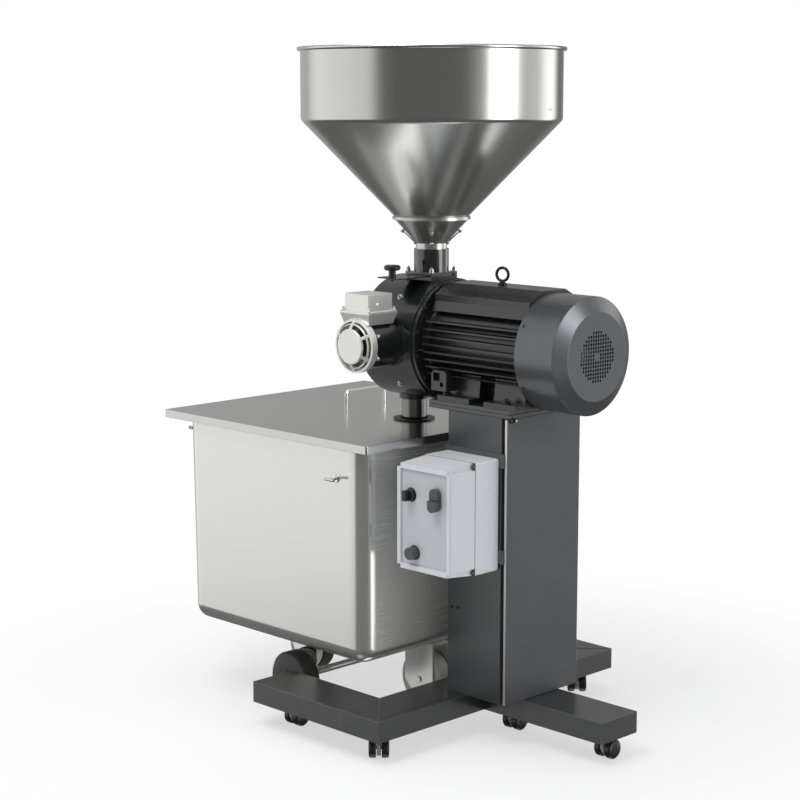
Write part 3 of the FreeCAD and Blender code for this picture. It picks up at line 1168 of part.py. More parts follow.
def bin_wheels():
    for label, sign in (("near_bin_wheel", -1), ("far_bin_wheel", 1)):
        node(label, wheel(label + "_body", ("axle_x", f"{sign} * wheel_y", "wheel_radius"),
                          "axle_radius + fit_clear"))
    for label, sign in (("front", -1), ("rear", 1)):
        swivel_x = f"axle_x + {sign} * caster_{label}"
        wheel_x = f"{swivel_x} + {sign} * caster_trail"
        swivel_fork(label + "_bin_fork", swivel_x, wheel_x)
        node(label + "_caster_wheel", wheel(label + "_caster_body", (wheel_x, "0", "wheel_radius"),
                                            "fork_axle + fit_clear"))


def swivel_fork(label, swivel_x, wheel_x):
    # A pressed fork: two wide upright cheeks with cut corners, a crown, a swivel head and an axle.
    low = "wheel_radius - fork_foot"
    cheeks = []
    for side, y in (("far", "fork_inner"), ("near", "0 - fork_outer")):
        cheeks.append(padded(f"{label}_cheek_{side}", [
            ("fork_chamfer - fork_half", low), ("fork_half - fork_chamfer", low),
            ("fork_half", f"{low} + fork_chamfer"), ("fork_half", "fork_crown"),
            ("0 - fork_half", "fork_crown"), ("0 - fork_half", f"{low} + fork_chamfer")],
            "fork_wall", (wheel_x, f"{y} + fork_wall", "0"), role="XZ_Plane"))
    crown = box(label + "_crown", ("2 * fork_half", "2 * fork_outer", "fork_wall"),
                (f"{wheel_x} - fork_half", "0 - fork_outer", "fork_crown - fork_wall"))
    head = cylinder(label + "_head", "fork_head", "fork_top - fork_crown + bury",
                    (swivel_x, "0", "fork_crown - bury"))
    plate = cylinder(label + "_plate", "fork_plate", "fork_plate_thick",
                     (swivel_x, "0", "fork_top - fork_plate_thick"))
    reach = "(fork_outer + fork_axle_end)"
    axle = cylinder(label + "_axle", "fork_axle", f"2 * {reach}",
                    (wheel_x, f"0 - {reach}", "wheel_radius"), "y")
    node(label, fused(label + "_solid", cheeks + [crown, head, plate, axle]))


# The six base casters: name, place on the floor plan and the turn of the wheels' trail in degrees.
CASTERS = (
    ("near_arm", "arm_tip_x + arm_caster_inset", "0 - arm_y", 90),
    ("far_arm", "arm_tip_x + arm_caster_inset", "arm_y", 90),
    ("near_corner", "corner_caster_x", "0 - arm_y", -45),
    ("far_corner", "corner_caster_x", "arm_y", -45),
    ("leg_root", "cross_rear_x + leg_root_inset", "0", 90),
    ("leg_tip", "leg_tip_x - leg_caster_inset", "0", 90),
)


def base_casters():
    for label, x, y, turn in CASTERS:
        swivel = twin_fork(label)
        wheels = twin_wheels(label)
        for thing in (swivel, wheels):
            place(thing, x, y, "0", Rotation(Vector(0, 0, 1), turn))
        node(label + "_caster_fork", swivel)
        node(label + "_caster_wheels", wheels)


def twin_fork(label):
    # The plate, the stem, the neck and the round web between the wheels, and the axle.
    plate = cylinder(label + "_twin_plate", "twin_plate", "twin_plate_thick",
                     ("0", "0", "twin_top - twin_plate_thick"))
    post = cylinder(label + "_twin_stem", "twin_stem", "twin_top - twin_axle_z", ("0", "0", "twin_axle_z"))
    neck = box(label + "_twin_neck", ("twin_neck", "twin_web", "twin_top - twin_axle_z - twin_plate_thick"),
               ("0 - twin_neck_back", "0 - twin_web / 2", "twin_axle_z"))
    web = cylinder(label + "_twin_web", "twin_web_radius", "twin_web",
                   ("twin_trail", "0 - twin_web / 2", "twin_axle_z"), "y")
    reach = "(twin_gap / 2 + twin_width)"
    axle = cylinder(label + "_twin_axle", "twin_axle", f"2 * {reach}",
                    ("twin_trail", f"0 - {reach}", "twin_axle_z"), "y")
    return fused(label + "_fork_whole", [plate, post, neck, web, axle])


def twin_wheels(label):
    rims = []
    for side in (-1, 1):
        inner = "twin_gap / 2"
        outer = "twin_gap / 2 + twin_width"
        cap = f"{side} * ({outer} - twin_dish)"
        rims.append(turned(f"{label}_rim_{side + 1}", [
            ("twin_axle + fit_clear", f"{side} * ({inner})"),
            ("twin_radius - twin_inner_edge", f"{side} * ({inner})"),
            ("twin_radius", f"{side} * ({inner} + twin_inner_edge)"),
            ("twin_radius", f"{side} * ({outer} - twin_edge)"),
            ("twin_radius - twin_edge", f"{side} * ({outer})"),
            ("twin_cap + twin_cap_rim", f"{side} * ({outer})"),
            ("twin_cap", cap), ("twin_axle + fit_clear", cap)],
            ("twin_trail", "0", "twin_axle_z"), "y"))
    group = doc.addObject("Part::Compound", label + "_wheels_group")
    group.Links = rims
    return group


def check_and_write():
    doc.recompute()
    os.makedirs("parts", exist_ok=True)
    for thing in doc.Objects:
        if "Invalid" in thing.State or "Error" in thing.State:
            raise RuntimeError(f"{thing.Name} failed: {thing.State}")
    for thing in NODES:
        if thing.Shape.isNull() or not thing.Shape.isValid():
            raise RuntimeError(f"{thing.Label} has no valid shape")
        if not thing.Shape.Solids:
            raise RuntimeError(f"{thing.Label} holds no solid")
    for thing in NODES:
        thing.Shape.exportStep(f"parts/{thing.Label}.step")
        print(thing.Label, len(thing.Shape.Solids), round(thing.Shape.Volume / 1000, 1))


fill_sheet()
base()
column()
motor_plate()
enclosure_base()
enclosure_lid()
controls()
motor_frame()
motor_flange()
fan_cowl()
terminal_box()
eye_bolt()
rotor()
cooling_fan()
discs()
adjusting_ring()
adjust_pinion()
mill_housing()
mill_bolts()
mill_cover()
inlet_collar()
slide_gate()
outlet_chute()
gear_motor()
gearmotor_box()
hopper()
bin_tub()
bin_lid()
bin_catch()
bin_axle()
bin_wheels()
base_casters()
check_and_write()
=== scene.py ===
# %% [markdown]
# # A coffee grinder in brushed steel and black paint
# The real machine is folded and spun stainless sheet, painted castings and a few moulded plastics.
# The solids of all its parts come in ready made, so the lesson is about finishes and about the small
# hardware that a modeller adds: screws, washers, caps, seams. Each step makes one kind of finish or one
# group of pieces.

# %% Load the parts
import math

import bmesh
import bpy
from mathutils import Matrix, Vector


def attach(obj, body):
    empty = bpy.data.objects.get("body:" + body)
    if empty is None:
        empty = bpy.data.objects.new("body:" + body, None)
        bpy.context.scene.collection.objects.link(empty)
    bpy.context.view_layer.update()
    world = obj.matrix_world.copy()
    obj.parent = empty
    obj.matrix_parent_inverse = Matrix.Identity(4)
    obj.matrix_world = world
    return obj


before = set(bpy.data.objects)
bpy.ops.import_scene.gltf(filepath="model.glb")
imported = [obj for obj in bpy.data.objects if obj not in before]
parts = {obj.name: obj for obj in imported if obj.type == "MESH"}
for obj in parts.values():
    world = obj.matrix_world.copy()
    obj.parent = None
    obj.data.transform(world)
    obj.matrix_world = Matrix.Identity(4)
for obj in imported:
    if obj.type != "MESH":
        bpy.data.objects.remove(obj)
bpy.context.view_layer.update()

# %% [markdown]
# ## The camera
# A product photographer stands well back with a long lens, so that the upright edges stay upright. A near
# camera with a wide lens could frame the machine as well, but it would spread the hopper. The place and
# the lens below give the photograph's view: 45 degrees round the machine and 9 degrees above.

# %% Camera
VIEW_PLACE = (3.3653, -3.4495, 1.5768)
VIEW_TURN = math.radians(45.23)
VIEW_DROP = math.radians(9.10)
LENS_LENGTH = 86.17
SENSOR_WIDTH = 36


def placed(name, data):
    # Makes an object of its data and puts it in the scene.
    made = bpy.data.objects.new(name, data)
    bpy.context.scene.collection.objects.link(made)
    return made


lens = bpy.data.cameras.new("view")
lens.lens = LENS_LENGTH
lens.sensor_width = SENSOR_WIDTH
camera = placed("view", lens)
camera.location = VIEW_PLACE
camera.rotation_euler = (math.pi / 2 - VIEW_DROP, 0, VIEW_TURN)
bpy.context.scene.camera = camera
bpy.context.scene.view_settings.view_transform = "Standard"
print("camera at", tuple(round(side, 2) for side in camera.location))

# %% [markdown]
# ## Nodes in a few words
# The studio and every finish are node trees. They could be wired by hand in the shader editor. A script
# that repeats itself is hard to read, so these helpers add a node, join two sockets and do the sums, and
# the cells after them say what a mask or a colour is for.


# %% Node helpers
def node_of(tree, kind, **values):
    made = tree.nodes.new(kind)
    for name, value in values.items():
        setattr(made, name, value)
    return made


def join(tree, start, end):
    tree.links.new(start, end)


def give(tree, socket, value):
    # Joins a socket to the one that feeds it, or sets it to a plain value.
    if isinstance(value, bpy.types.NodeSocket):
        join(tree, value, socket)
    else:
        socket.default_value = value


def maths(tree, operation, *terms):
    made = node_of(tree, "ShaderNodeMath", operation=operation)
    for socket, term in zip(made.inputs, terms):
        give(tree, socket, term)
    return made.outputs[0]


def split(tree, vector):
    # The X, Y and Z of a vector.
    made = node_of(tree, "ShaderNodeSeparateXYZ")
    join(tree, vector, made.inputs[0])
    return made.outputs


def dot(tree, first, second):
    # How far two directions agree: 1 where they are the same.
    made = node_of(tree, "ShaderNodeVectorMath", operation="DOT_PRODUCT")
    give(tree, made.inputs[0], first)
    give(tree, made.inputs[1], second)
    return made.outputs["Value"]


def band(tree, value, low, high, start=0, end=1, easing="LINEAR"):
    # Carries a value from one range to another.
    made = node_of(tree, "ShaderNodeMapRange", interpolation_type=easing)
    for label, bound in (("From Min", low), ("From Max", high), ("To Min", start), ("To Max", end)):
        made.inputs[label].default_value = bound
    join(tree, value, made.inputs["Value"])
    return made.outputs["Result"]


def blended(tree, mask, first, second):
    # Mixes two colours by a mask.
    made = node_of(tree, "ShaderNodeMix", data_type="RGBA")
    for label, value in (("Factor", mask), ("A", first), ("B", second)):
        give(tree, made.inputs[label], value)
    return made.outputs["Result"]


def mixed(tree, mask, first, second):
    # Mixes two shaders by a mask.
    made = node_of(tree, "ShaderNodeMixShader")
    for socket, value in zip(made.inputs, (mask, first, second)):
        join(tree, value, socket)
    return made.outputs[0]


def object_place(tree):
    return node_of(tree, "ShaderNodeTexCoord").outputs["Object"]


# %% [markdown]
# ## The studio
# Steel shows what stands round it. One broad white panel would make it flat, so the world has soft bright
# and dark bands round the machine, as tall panels and the gaps between them give in a studio. Real panels
# could be modelled too, but bands of colour are quicker to tune. Only glossy rays see them: matt
# surfaces get an even light instead, and the camera sees white.

# %% Bands round the machine
studio_world = bpy.data.worlds.new("studio")
bpy.context.scene.world = studio_world
studio_world.use_nodes = True
studio = studio_world.node_tree
studio.nodes.clear()
way = node_of(studio, "ShaderNodeTexCoord").outputs["Generated"]
way_sides = split(studio, way)

# Each band has its place in the full turn and its light.
BANDS = ((0.00, 0.80), (0.05, 1.10), (0.14, 0.98), (0.215, 0.86), (0.255, 0.17), (0.30, 0.14),
         (0.45, 0.15), (0.50, 0.40), (0.535, 3.00), (0.570, 3.00), (0.605, 0.60), (0.66, 0.75),
         (0.70, 1.60), (0.73, 1.80), (0.77, 0.15), (0.87, 0.38), (0.94, 0.55))
BLUE_SHARE = 0.985
HALF_TURN = 0.5


def upright_bands():
    bands = node_of(studio, "ShaderNodeValToRGB")
    ramp = bands.color_ramp
    ramp.interpolation = "EASE"
    while len(ramp.elements) < len(BANDS):
        ramp.elements.new(HALF_TURN)
    for element, (place, light) in zip(ramp.elements, BANDS):
        element.position = place
        element.color = (light, light, light * BLUE_SHARE, 1)
    turn = maths(studio, "ARCTAN2", way_sides["Y"], way_sides["X"])
    join(studio, band(studio, turn, -math.pi, math.pi), bands.inputs["Fac"])
    return bands.outputs["Color"]


upright = upright_bands()
print("bands of the studio:", len(BANDS))

# %% [markdown]
# ## Above and below
# Over the bands the light is even. Under the horizon the studio is dark, and nearly straight down lies
# its white floor: a cone of steel mirrors both, as a dark ground with bright upright streaks.

# %% Layers of the studio
OVERHEAD = (0.55, 0.56, 0.57, 1)
DARK_GAP = (0.11, 0.11, 0.105, 1)
WHITE_FLOOR = (1.3, 1.3, 1.28, 1)
FLOOR_WAY = (0.12, 0.17, -0.978)
EVEN_LIGHT = (0.44, 0.445, 0.45, 1)
PLAIN_WHITE = (1, 1, 1, 1)
# Where each layer begins and where it covers: by height for the first two, by nearness to FLOOR_WAY
# for the floor.
OVERHEAD_RISE = (0.30, 0.85)
GAP_FALL = (-0.22, -0.42)
FLOOR_EDGE = (0.905, 0.945)


def layered(below, colour, measure, start, end):
    # Lays a colour over the one below, from one value of the measure to another.
    return blended(studio, band(studio, measure, start, end, easing="SMOOTHSTEP"), below, colour)


def light_of(colour):
    made = node_of(studio, "ShaderNodeBackground")
    give(studio, made.inputs["Color"], colour)
    return made.outputs[0]


above = layered(upright, OVERHEAD, way_sides["Z"], *OVERHEAD_RISE)
ringed = layered(above, DARK_GAP, way_sides["Z"], *GAP_FALL)
panels = layered(ringed, WHITE_FLOOR, dot(studio, way, FLOOR_WAY), *FLOOR_EDGE)
ray = node_of(studio, "ShaderNodeLightPath").outputs
by_ray = mixed(studio, ray["Is Glossy Ray"], light_of(EVEN_LIGHT), light_of(panels))
seen = mixed(studio, ray["Is Camera Ray"], by_ray, light_of(PLAIN_WHITE))
join(studio, seen, node_of(studio, "ShaderNodeOutputWorld").inputs["Surface"])
print("nodes of the studio:", len(studio.nodes))

# %% [markdown]
# ## The lamps
# The world alone gives hardly any shadow. Three broad lamps stand for the photographer's soft boxes: one
# in front, one at the motor's end and one overhead. Point lamps would give hard shadows and small hot
# spots, so these are large rectangles, which the camera doesn't see.

# %% Lamps
# Each lamp has its place, what it points at, its two sides in metres and its power in watts.
LAMPS = (
    ("key_panel", (0.4, -2.4, 4.2), (0.1, -0.2, 0.6), (1.8, 1.4), 60),
    ("side_panel", (4.4, 1.2, 2.2), (0.2, 0, 0.7), (1.6, 2.6), 34),
    ("top_panel", (-0.5, -0.4, 4.2), (0.1, 0, 0), (2.8, 2.2), 60),
)


def soft_lamp(name, place, target, sides, power):
    data = bpy.data.lights.new(name, "AREA")
    data.shape = "RECTANGLE"
    data.size, data.size_y = sides
    data.energy = power
    lamp = placed(name, data)
    lamp.location = place
    lamp.rotation_euler = (Vector(target) - Vector(place)).to_track_quat("-Z", "Y").to_euler()
    lamp.visible_camera = False


for lamp_facts in LAMPS:
    soft_lamp(*lamp_facts)
print("lamps:", len(LAMPS))

# %% [markdown]
# ## The floor
# The machine stands on a white sweep whose far side can't be seen. A matt floor alone would turn grey
# away from the lamps, so it fades into plain white with the distance, and only near the machine does it
# keep a soft shadow. Mirrors don't see it: they see the studio's own floor.

# %% Floor
FLOOR_REACH = 30
FLOOR_COLOUR = (0.95, 0.95, 0.95, 1)
SHADOW_FROM = 0.7
SHADOW_TO = 1.6
LEAST_WHITE = 0.60


def floor_material():
    made = bpy.data.materials.new("studio_floor")
    made.use_nodes = True
    tree = made.node_tree
    tree.nodes.clear()
    away = node_of(tree, "ShaderNodeVectorMath", operation="LENGTH")
    join(tree, object_place(tree), away.inputs[0])
    fade = band(tree, away.outputs["Value"], SHADOW_FROM, SHADOW_TO, LEAST_WHITE, easing="SMOOTHSTEP")
    seen_white = maths(tree, "MULTIPLY", fade, node_of(tree, "ShaderNodeLightPath").outputs["Is Camera Ray"])
    matt = node_of(tree, "ShaderNodeBsdfDiffuse")
    matt.inputs["Color"].default_value = FLOOR_COLOUR
    white = node_of(tree, "ShaderNodeEmission")
    look = mixed(tree, seen_white, matt.outputs[0], white.outputs[0])
    join(tree, look, node_of(tree, "ShaderNodeOutputMaterial").inputs["Surface"])
    return made


sheet = bmesh.new()
bmesh.ops.create_grid(sheet, x_segments=1, y_segments=1, size=FLOOR_REACH)
floor_mesh = bpy.data.meshes.new("studio_floor")
sheet.to_mesh(floor_mesh)
sheet.free()
floor_mesh.materials.append(floor_material())
floor = placed("studio_floor", floor_mesh)
floor.visible_glossy = False
print("floor side:", 2 * FLOOR_REACH, "m")

# %% [markdown]
# ## Shared effects
# Brushing, casting grain and handling marks turn up on many finishes. Each could be wired anew in every
# material, but one node group keeps them alike and is built once. A group gives only a fine pattern and
# soft patches, as numbers; the shader itself stays in each material.


# %% Helpers for effects
def effect(name, inputs, outputs):
    # An empty node group with its inputs and outputs, all of them numbers.
    group = bpy.data.node_groups.new(name, "ShaderNodeTree")
    for label, value in inputs.items():
        socket = group.interface.new_socket(label, in_out="INPUT", socket_type="NodeSocketFloat")
        socket.default_value = value
    for label in outputs:
        group.interface.new_socket(label, in_out="OUTPUT", socket_type="NodeSocketFloat")
    return group, node_of(group, "NodeGroupInput"), node_of(group, "NodeGroupOutput")


def noise(tree, vector, scale, detail, roughness=0.55):
    made = node_of(tree, "ShaderNodeTexNoise")
    for label, value in (("Vector", vector), ("Scale", scale), ("Detail", detail), ("Roughness", roughness)):
        give(tree, made.inputs[label], value)
    return made.outputs["Fac"]


def brushed_lines(tree, stretched):
    return noise(tree, stretched, scale=1.0, detail=4.0, roughness=0.6)


# %% [markdown]
# ## Brushing
# A spun bowl is polished while it turns, so its lines run round the axis. Flat sheet is brushed along its
# length. Both come from one noise that is read at stretched places, long one way and fine across it.

# %% Brushing round an axis
LENGTH_ROUND = 3.0


def ring_brushing():
    group, given, result = effect("ring_brushing", {"Fineness": 900.0}, ["Lines", "Patches"])
    place = object_place(group)
    sides = split(group, place)
    turn = maths(group, "ABSOLUTE", maths(group, "ARCTAN2", sides["Y"], sides["X"]))
    stretched = node_of(group, "ShaderNodeCombineXYZ")
    join(group, maths(group, "MULTIPLY", turn, LENGTH_ROUND), stretched.inputs["X"])
    join(group, maths(group, "MULTIPLY", sides["Z"], given.outputs["Fineness"]), stretched.inputs["Z"])
    join(group, brushed_lines(group, stretched.outputs[0]), result.inputs["Lines"])
    join(group, noise(group, place, scale=5.0, detail=2.0), result.inputs["Patches"])
    return group


ring_brush = ring_brushing()
print("effect:", ring_brush.name)


# %% Brushing along a sheet
def sheet_brushing():
    stretches = {"Along X": 4.0, "Along Y": 4.0, "Along Z": 900.0}
    group, given, result = effect("sheet_brushing", stretches, ["Lines", "Patches"])
    place = object_place(group)
    stretch = node_of(group, "ShaderNodeCombineXYZ")
    for axis in "XYZ":
        join(group, given.outputs["Along " + axis], stretch.inputs[axis])
    stretched = node_of(group, "ShaderNodeVectorMath", operation="MULTIPLY")
    join(group, place, stretched.inputs[0])
    join(group, stretch.outputs[0], stretched.inputs[1])
    join(group, brushed_lines(group, stretched.outputs[0]), result.inputs["Lines"])
    join(group, noise(group, place, scale=4.0, detail=2.0), result.inputs["Patches"])
    return group


sheet_brush = sheet_brushing()
print("effect:", sheet_brush.name)

# %% [markdown]
# ## Skin and painted edge highlights
# Paint and castings have a fine grain, and softer patches where hands and cloths pass. On an edge the
# colour is made lighter, as a painted highlight where a rounded edge would catch the light: there the
# rounded normal of a Bevel node leaves the true one, and that difference is the mask. Painting the
# highlight by hand would fit one view only.


# %% Skin of paint and castings
def skin_grain():
    group, given, result = effect("skin_grain", {"Grain": 900.0, "Patch Size": 6.0}, ["Grain", "Patches"])
    place = object_place(group)
    join(group, noise(group, place, given.outputs["Grain"], detail=2.0), result.inputs["Grain"])
    join(group, noise(group, place, given.outputs["Patch Size"], detail=4.0), result.inputs["Patches"])
    return group


skin = skin_grain()
print("effect:", skin.name)

# %% Painted edge highlights
EDGE_LIGHT_GAIN = 8.0


def painted_edge_light():
    group, given, result = effect("painted_edge_highlight", {"Amount": 0.5}, ["Wear"])
    group.interface.new_socket("Rounded", in_out="INPUT", socket_type="NodeSocketVector")
    true_normal = node_of(group, "ShaderNodeNewGeometry").outputs["Normal"]
    # The mask of the painted edge highlight: how far the rounded normal leaves the true one.
    leaving = maths(group, "SUBTRACT", 1.0, dot(group, given.outputs["Rounded"], true_normal))
    amount = given.outputs["Amount"]
    strength = maths(group, "MULTIPLY", maths(group, "MULTIPLY", leaving, EDGE_LIGHT_GAIN), amount)
    join(group, maths(group, "MINIMUM", strength, amount), result.inputs["Wear"])
    return group


painted_edge_highlight = painted_edge_light()
print("effect:", painted_edge_highlight.name)

# %% [markdown]
# ## What a finish is
# A finish is one Principled shader with its own colour, metal share and roughness. One value for the
# whole surface would look like plastic film, so an effect group varies its roughness and its tone a
# little and gives it a fine bump. A Bevel node rounds the light on sharp edges, as the thickness of the
# paint or a rubbed burr does on the real parts. Where asked, the edges also get a painted highlight: a
# lighter colour along them.

# %% Finish helper
MASK_LOW = 0.3
MASK_HIGH = 0.7
LEAST_ROUGH = 0.02
COAT_ROUGH = 0.12
RELIEF_DEPTH = 0.0002
BEVEL_SAMPLES = 4
PATTERN_SHARE = 0.5
LIT_EDGE_GAIN = 3
LIT_EDGE_LIFT = 0.10
finishes = {}


def shade_of(colour, factor):
    return (*[min(share * factor, 1) for share in colour], 1)


def finish(name, colour, rough, metal=0.0, pattern=skin, settings=None, spread=0.08, tint=0.12, bump=0.0,
           edge=0.0012, coat=0.0, drawn_round=0.0, gloss=0.5, lit_edges=0.0):
    # The pattern moves the roughness by spread and the tone by tint, to either side.
    made = bpy.data.materials.new(name)
    made.use_nodes = True
    tree = made.node_tree
    shader = tree.nodes["Principled BSDF"]
    for label, value in (("Metallic", metal), ("Specular IOR Level", gloss), ("Coat Weight", coat),
                         ("Coat Roughness", COAT_ROUGH), ("Anisotropic", drawn_round)):
        shader.inputs[label].default_value = value
    rounded = node_of(tree, "ShaderNodeBevel", samples=BEVEL_SAMPLES)
    rounded.inputs["Radius"].default_value = edge
    effects = node_of(tree, "ShaderNodeGroup", node_tree=pattern)
    for label, value in (settings or {}).items():
        effects.inputs[label].default_value = value
    fine, patches = effects.outputs
    mask = maths(tree, "ADD", maths(tree, "MULTIPLY", fine, PATTERN_SHARE),
                 maths(tree, "MULTIPLY", patches, 1 - PATTERN_SHARE))
    roughness = band(tree, mask, MASK_LOW, MASK_HIGH, max(rough - spread, LEAST_ROUGH), rough + spread)
    join(tree, roughness, shader.inputs["Roughness"])
    tone = blended(tree, band(tree, mask, MASK_LOW, MASK_HIGH), shade_of(colour, 1 - tint),
                   shade_of(colour, 1 + tint))
    # Lighter colour on the edges: a painted highlight where a rounded edge would catch the light.
    if lit_edges:
        edge_lighting = node_of(tree, "ShaderNodeGroup", node_tree=painted_edge_highlight)
        edge_lighting.inputs["Amount"].default_value = lit_edges
        join(tree, rounded.outputs[0], edge_lighting.inputs["Rounded"])
        lit_edge_colour = shade_of([share * LIT_EDGE_GAIN + LIT_EDGE_LIFT for share in colour], 1)
        tone = blended(tree, edge_lighting.outputs["Wear"], tone, lit_edge_colour)
    join(tree, tone, shader.inputs["Base Color"])
    relief = node_of(tree, "ShaderNodeBump")
    relief.inputs["Distance"].default_value = RELIEF_DEPTH
    relief.inputs["Strength"].default_value = bump
    join(tree, fine, relief.inputs["Height"])
    join(tree, rounded.outputs[0], relief.inputs["Normal"])
    join(tree, relief.outputs[0], shader.inputs["Normal"])
    if drawn_round:
        grain_way = node_of(tree, "ShaderNodeTangent", direction_type="RADIAL", axis="Z")
        join(tree, grain_way.outputs[0], shader.inputs["Tangent"])
    finishes[name] = made


# %% [markdown]
# ## The steels
# Hopper, tub and lid are stainless sheet, each brushed its own way. The handle is polished rod, the forks
# are pressed sheet, and the shaft and discs are ground. Their colour is nearly the same; what tells them
# apart is how rough they are and how the light is drawn out along the brushing.

# %% Steels
finish("spun_steel", (0.60, 0.60, 0.58), 0.17, 1.0, ring_brush, {"Fineness": 1600.0}, bump=0.025,
       spread=0.03, tint=0.03, drawn_round=0.45)
finish("chute_steel", (0.26, 0.26, 0.255), 0.20, 1.0, ring_brush, bump=0.03, spread=0.03, tint=0.04,
       drawn_round=0.3)
finish("tub_steel", (0.74, 0.74, 0.715), 0.17, 0.86, sheet_brush, bump=0.006, spread=0.012, tint=0.01)
finish("lid_steel", (0.62, 0.62, 0.61), 0.20, 1.0, sheet_brush,
       {"Along X": 3.0, "Along Y": 900.0, "Along Z": 900.0}, bump=0.02, spread=0.04, tint=0.03)
finish("polished_steel", (0.78, 0.78, 0.77), 0.08, 1.0, spread=0.03, tint=0.03)
finish("fork_steel", (0.80, 0.80, 0.78), 0.24, 0.75, sheet_brush, bump=0.03)
finish("ground_steel", (0.50, 0.50, 0.50), 0.30, 1.0, bump=0.05)
finish("zinc_screw", (0.70, 0.70, 0.69), 0.22, 1.0, spread=0.06)
print("steels:", len(finishes))

# %% [markdown]
# ## Paints and castings
# The base's box sections and the column's sheet are painted, and some coats are smoother than others.
# Mill and motor are black castings with more grain, the inlet's collar is enamelled, and the fan's cowl
# has a grey metallic paint. Their edges get a painted highlight: a lighter colour where a rounded edge
# would catch the light.

# %% Paints and castings
finish("black_paint", (0.028, 0.029, 0.030), 0.24, spread=0.03, bump=0.01, settings={"Grain": 700.0},
       gloss=1.0, edge=0.0022, lit_edges=0.8)
finish("column_paint", (0.045, 0.047, 0.050), 0.30, spread=0.04, bump=0.03, settings={"Grain": 700.0},
       gloss=0.8, edge=0.0014, lit_edges=0.3)
# The cover faces +X and is a lighter grey than the shell: painted light, for the light that falls on that
# side.
finish("lit_cover_paint", (0.068, 0.074, 0.080), 0.38, spread=0.04, bump=0.03, settings={"Grain": 700.0},
       edge=0.0014, lit_edges=0.3)
finish("mill_casting", (0.011, 0.0115, 0.012), 0.22, spread=0.03, bump=0.015, settings={"Grain": 420.0},
       gloss=0.8, edge=0.0016, lit_edges=0.25)
finish("collar_enamel", (0.008, 0.008, 0.008), 0.10, spread=0.02, bump=0.01, gloss=1.0, coat=0.6,
       edge=0.0014, lit_edges=0.2)
finish("motor_casting", (0.016, 0.0165, 0.017), 0.28, spread=0.05, bump=0.03, settings={"Grain": 380.0},
       gloss=0.8, edge=0.0014, lit_edges=0.35)
finish("cowl_sheet", (0.118, 0.126, 0.136), 0.26, 0.60, spread=0.04, bump=0.02, edge=0.002, gloss=0.9)
finish("black_steel", (0.02, 0.02, 0.02), 0.24, 0.4, spread=0.06)
finish("silver_casting", (0.80, 0.80, 0.76), 0.34, 0.65, bump=0.02, settings={"Grain": 500.0},
       edge=0.0018, tint=0.03, lit_edges=0.4)
# A pale metal for thin strips that paint the highlight on the cover's folded edges.
finish("edge_highlight_metal", (0.60, 0.60, 0.60), 0.35, 0.6, bump=0.02)
print("finishes so far:", len(finishes))

# %% [markdown]
# ## Plastics and rubber
# The control box is moulded in a pale blue grey, knobs and buttons in near black. Rubber is rougher still,
# with a coarse bump. The rear wheel's tread is coloured near white, a painted highlight for the light it
# reflects.

# %% Plastics and rubber
finish("box_plastic", (0.68, 0.715, 0.75), 0.36, spread=0.05, tint=0.015, bump=0.02, edge=0.002)
finish("black_plastic", (0.018, 0.018, 0.019), 0.32, spread=0.05, bump=0.05)
finish("button_grey", (0.070, 0.076, 0.080), 0.40, spread=0.05, bump=0.04, tint=0.05)
finish("seal_rubber", (0.012, 0.012, 0.012), 0.45, bump=0.1)
finish("wheel_rubber", (0.030, 0.030, 0.029), 0.50, bump=0.12, edge=0.002)
# The rear wheel's tread is coloured near white as a painted highlight, for the light it reflects.
finish("highlight_tread", (0.85, 0.84, 0.77), 0.45, bump=0.10, edge=0.002, tint=0.05)
finish("pale_plastic", (0.74, 0.74, 0.72), 0.38, bump=0.05, edge=0.001, tint=0.04)
finish("caster_black", (0.013, 0.013, 0.014), 0.28, spread=0.05, bump=0.03)
finish("caster_grey", (0.30, 0.31, 0.31), 0.35, spread=0.05, bump=0.04)
print("finishes:", len(finishes))

# %% [markdown]
# ## Where one piece has two finishes
# The hopper's cone is duller than its polished band, and the tub's end walls are brushed more coarsely
# than its long ones. The box's set-back panel is greyer, and the straps behind the box are painted like
# the column. Each could be a material of its own on its own faces, but the solids' faces aren't touched
# here, so a mask by place or by direction does it.

# %% Masks on the steels
SHOULDER_FROM = 1.508
SHOULDER_TO = 1.516
WALL_FROM = 0.94
WALL_TO = 0.99


def matter_where(key, mask_of, rougher, less_metal):
    # Makes a finish rougher and less bright where a mask is high.
    tree = finishes[key].node_tree
    shader = tree.nodes["Principled BSDF"]
    mask = mask_of(tree)
    rough = shader.inputs["Roughness"]
    more = maths(tree, "MULTIPLY", mask, rougher)
    join(tree, maths(tree, "ADD", rough.links[0].from_socket, more), rough)
    metal = shader.inputs["Metallic"]
    less = maths(tree, "MULTIPLY", mask, less_metal)
    join(tree, maths(tree, "SUBTRACT", metal.default_value, less), metal)


def under_the_shoulder(tree):
    return band(tree, split(tree, object_place(tree))["Z"], SHOULDER_FROM, SHOULDER_TO, 1, 0)


def end_walls(tree):
    facing = split(tree, node_of(tree, "ShaderNodeNewGeometry").outputs["Normal"])
    return band(tree, maths(tree, "ABSOLUTE", facing["X"]), WALL_FROM, WALL_TO)


# Each steel has its mask, how much rougher it gets there and how much less metallic.
MASKS = (("spun_steel", under_the_shoulder, 0.04, 0.10), ("tub_steel", end_walls, 0.10, 0.36))
for mask_facts in MASKS:
    matter_where(*mask_facts)
print("steels with a mask:", len(MASKS))

# %% Zones of the box
# Each zone has its nearest and farthest place along Y, and its colour.
PANEL_ZONE = (-0.3012, -0.2990, (0.53, 0.56, 0.59, 1))
STRAP_ZONE = (-0.1363, -0.1320, (0.075, 0.080, 0.085, 1))


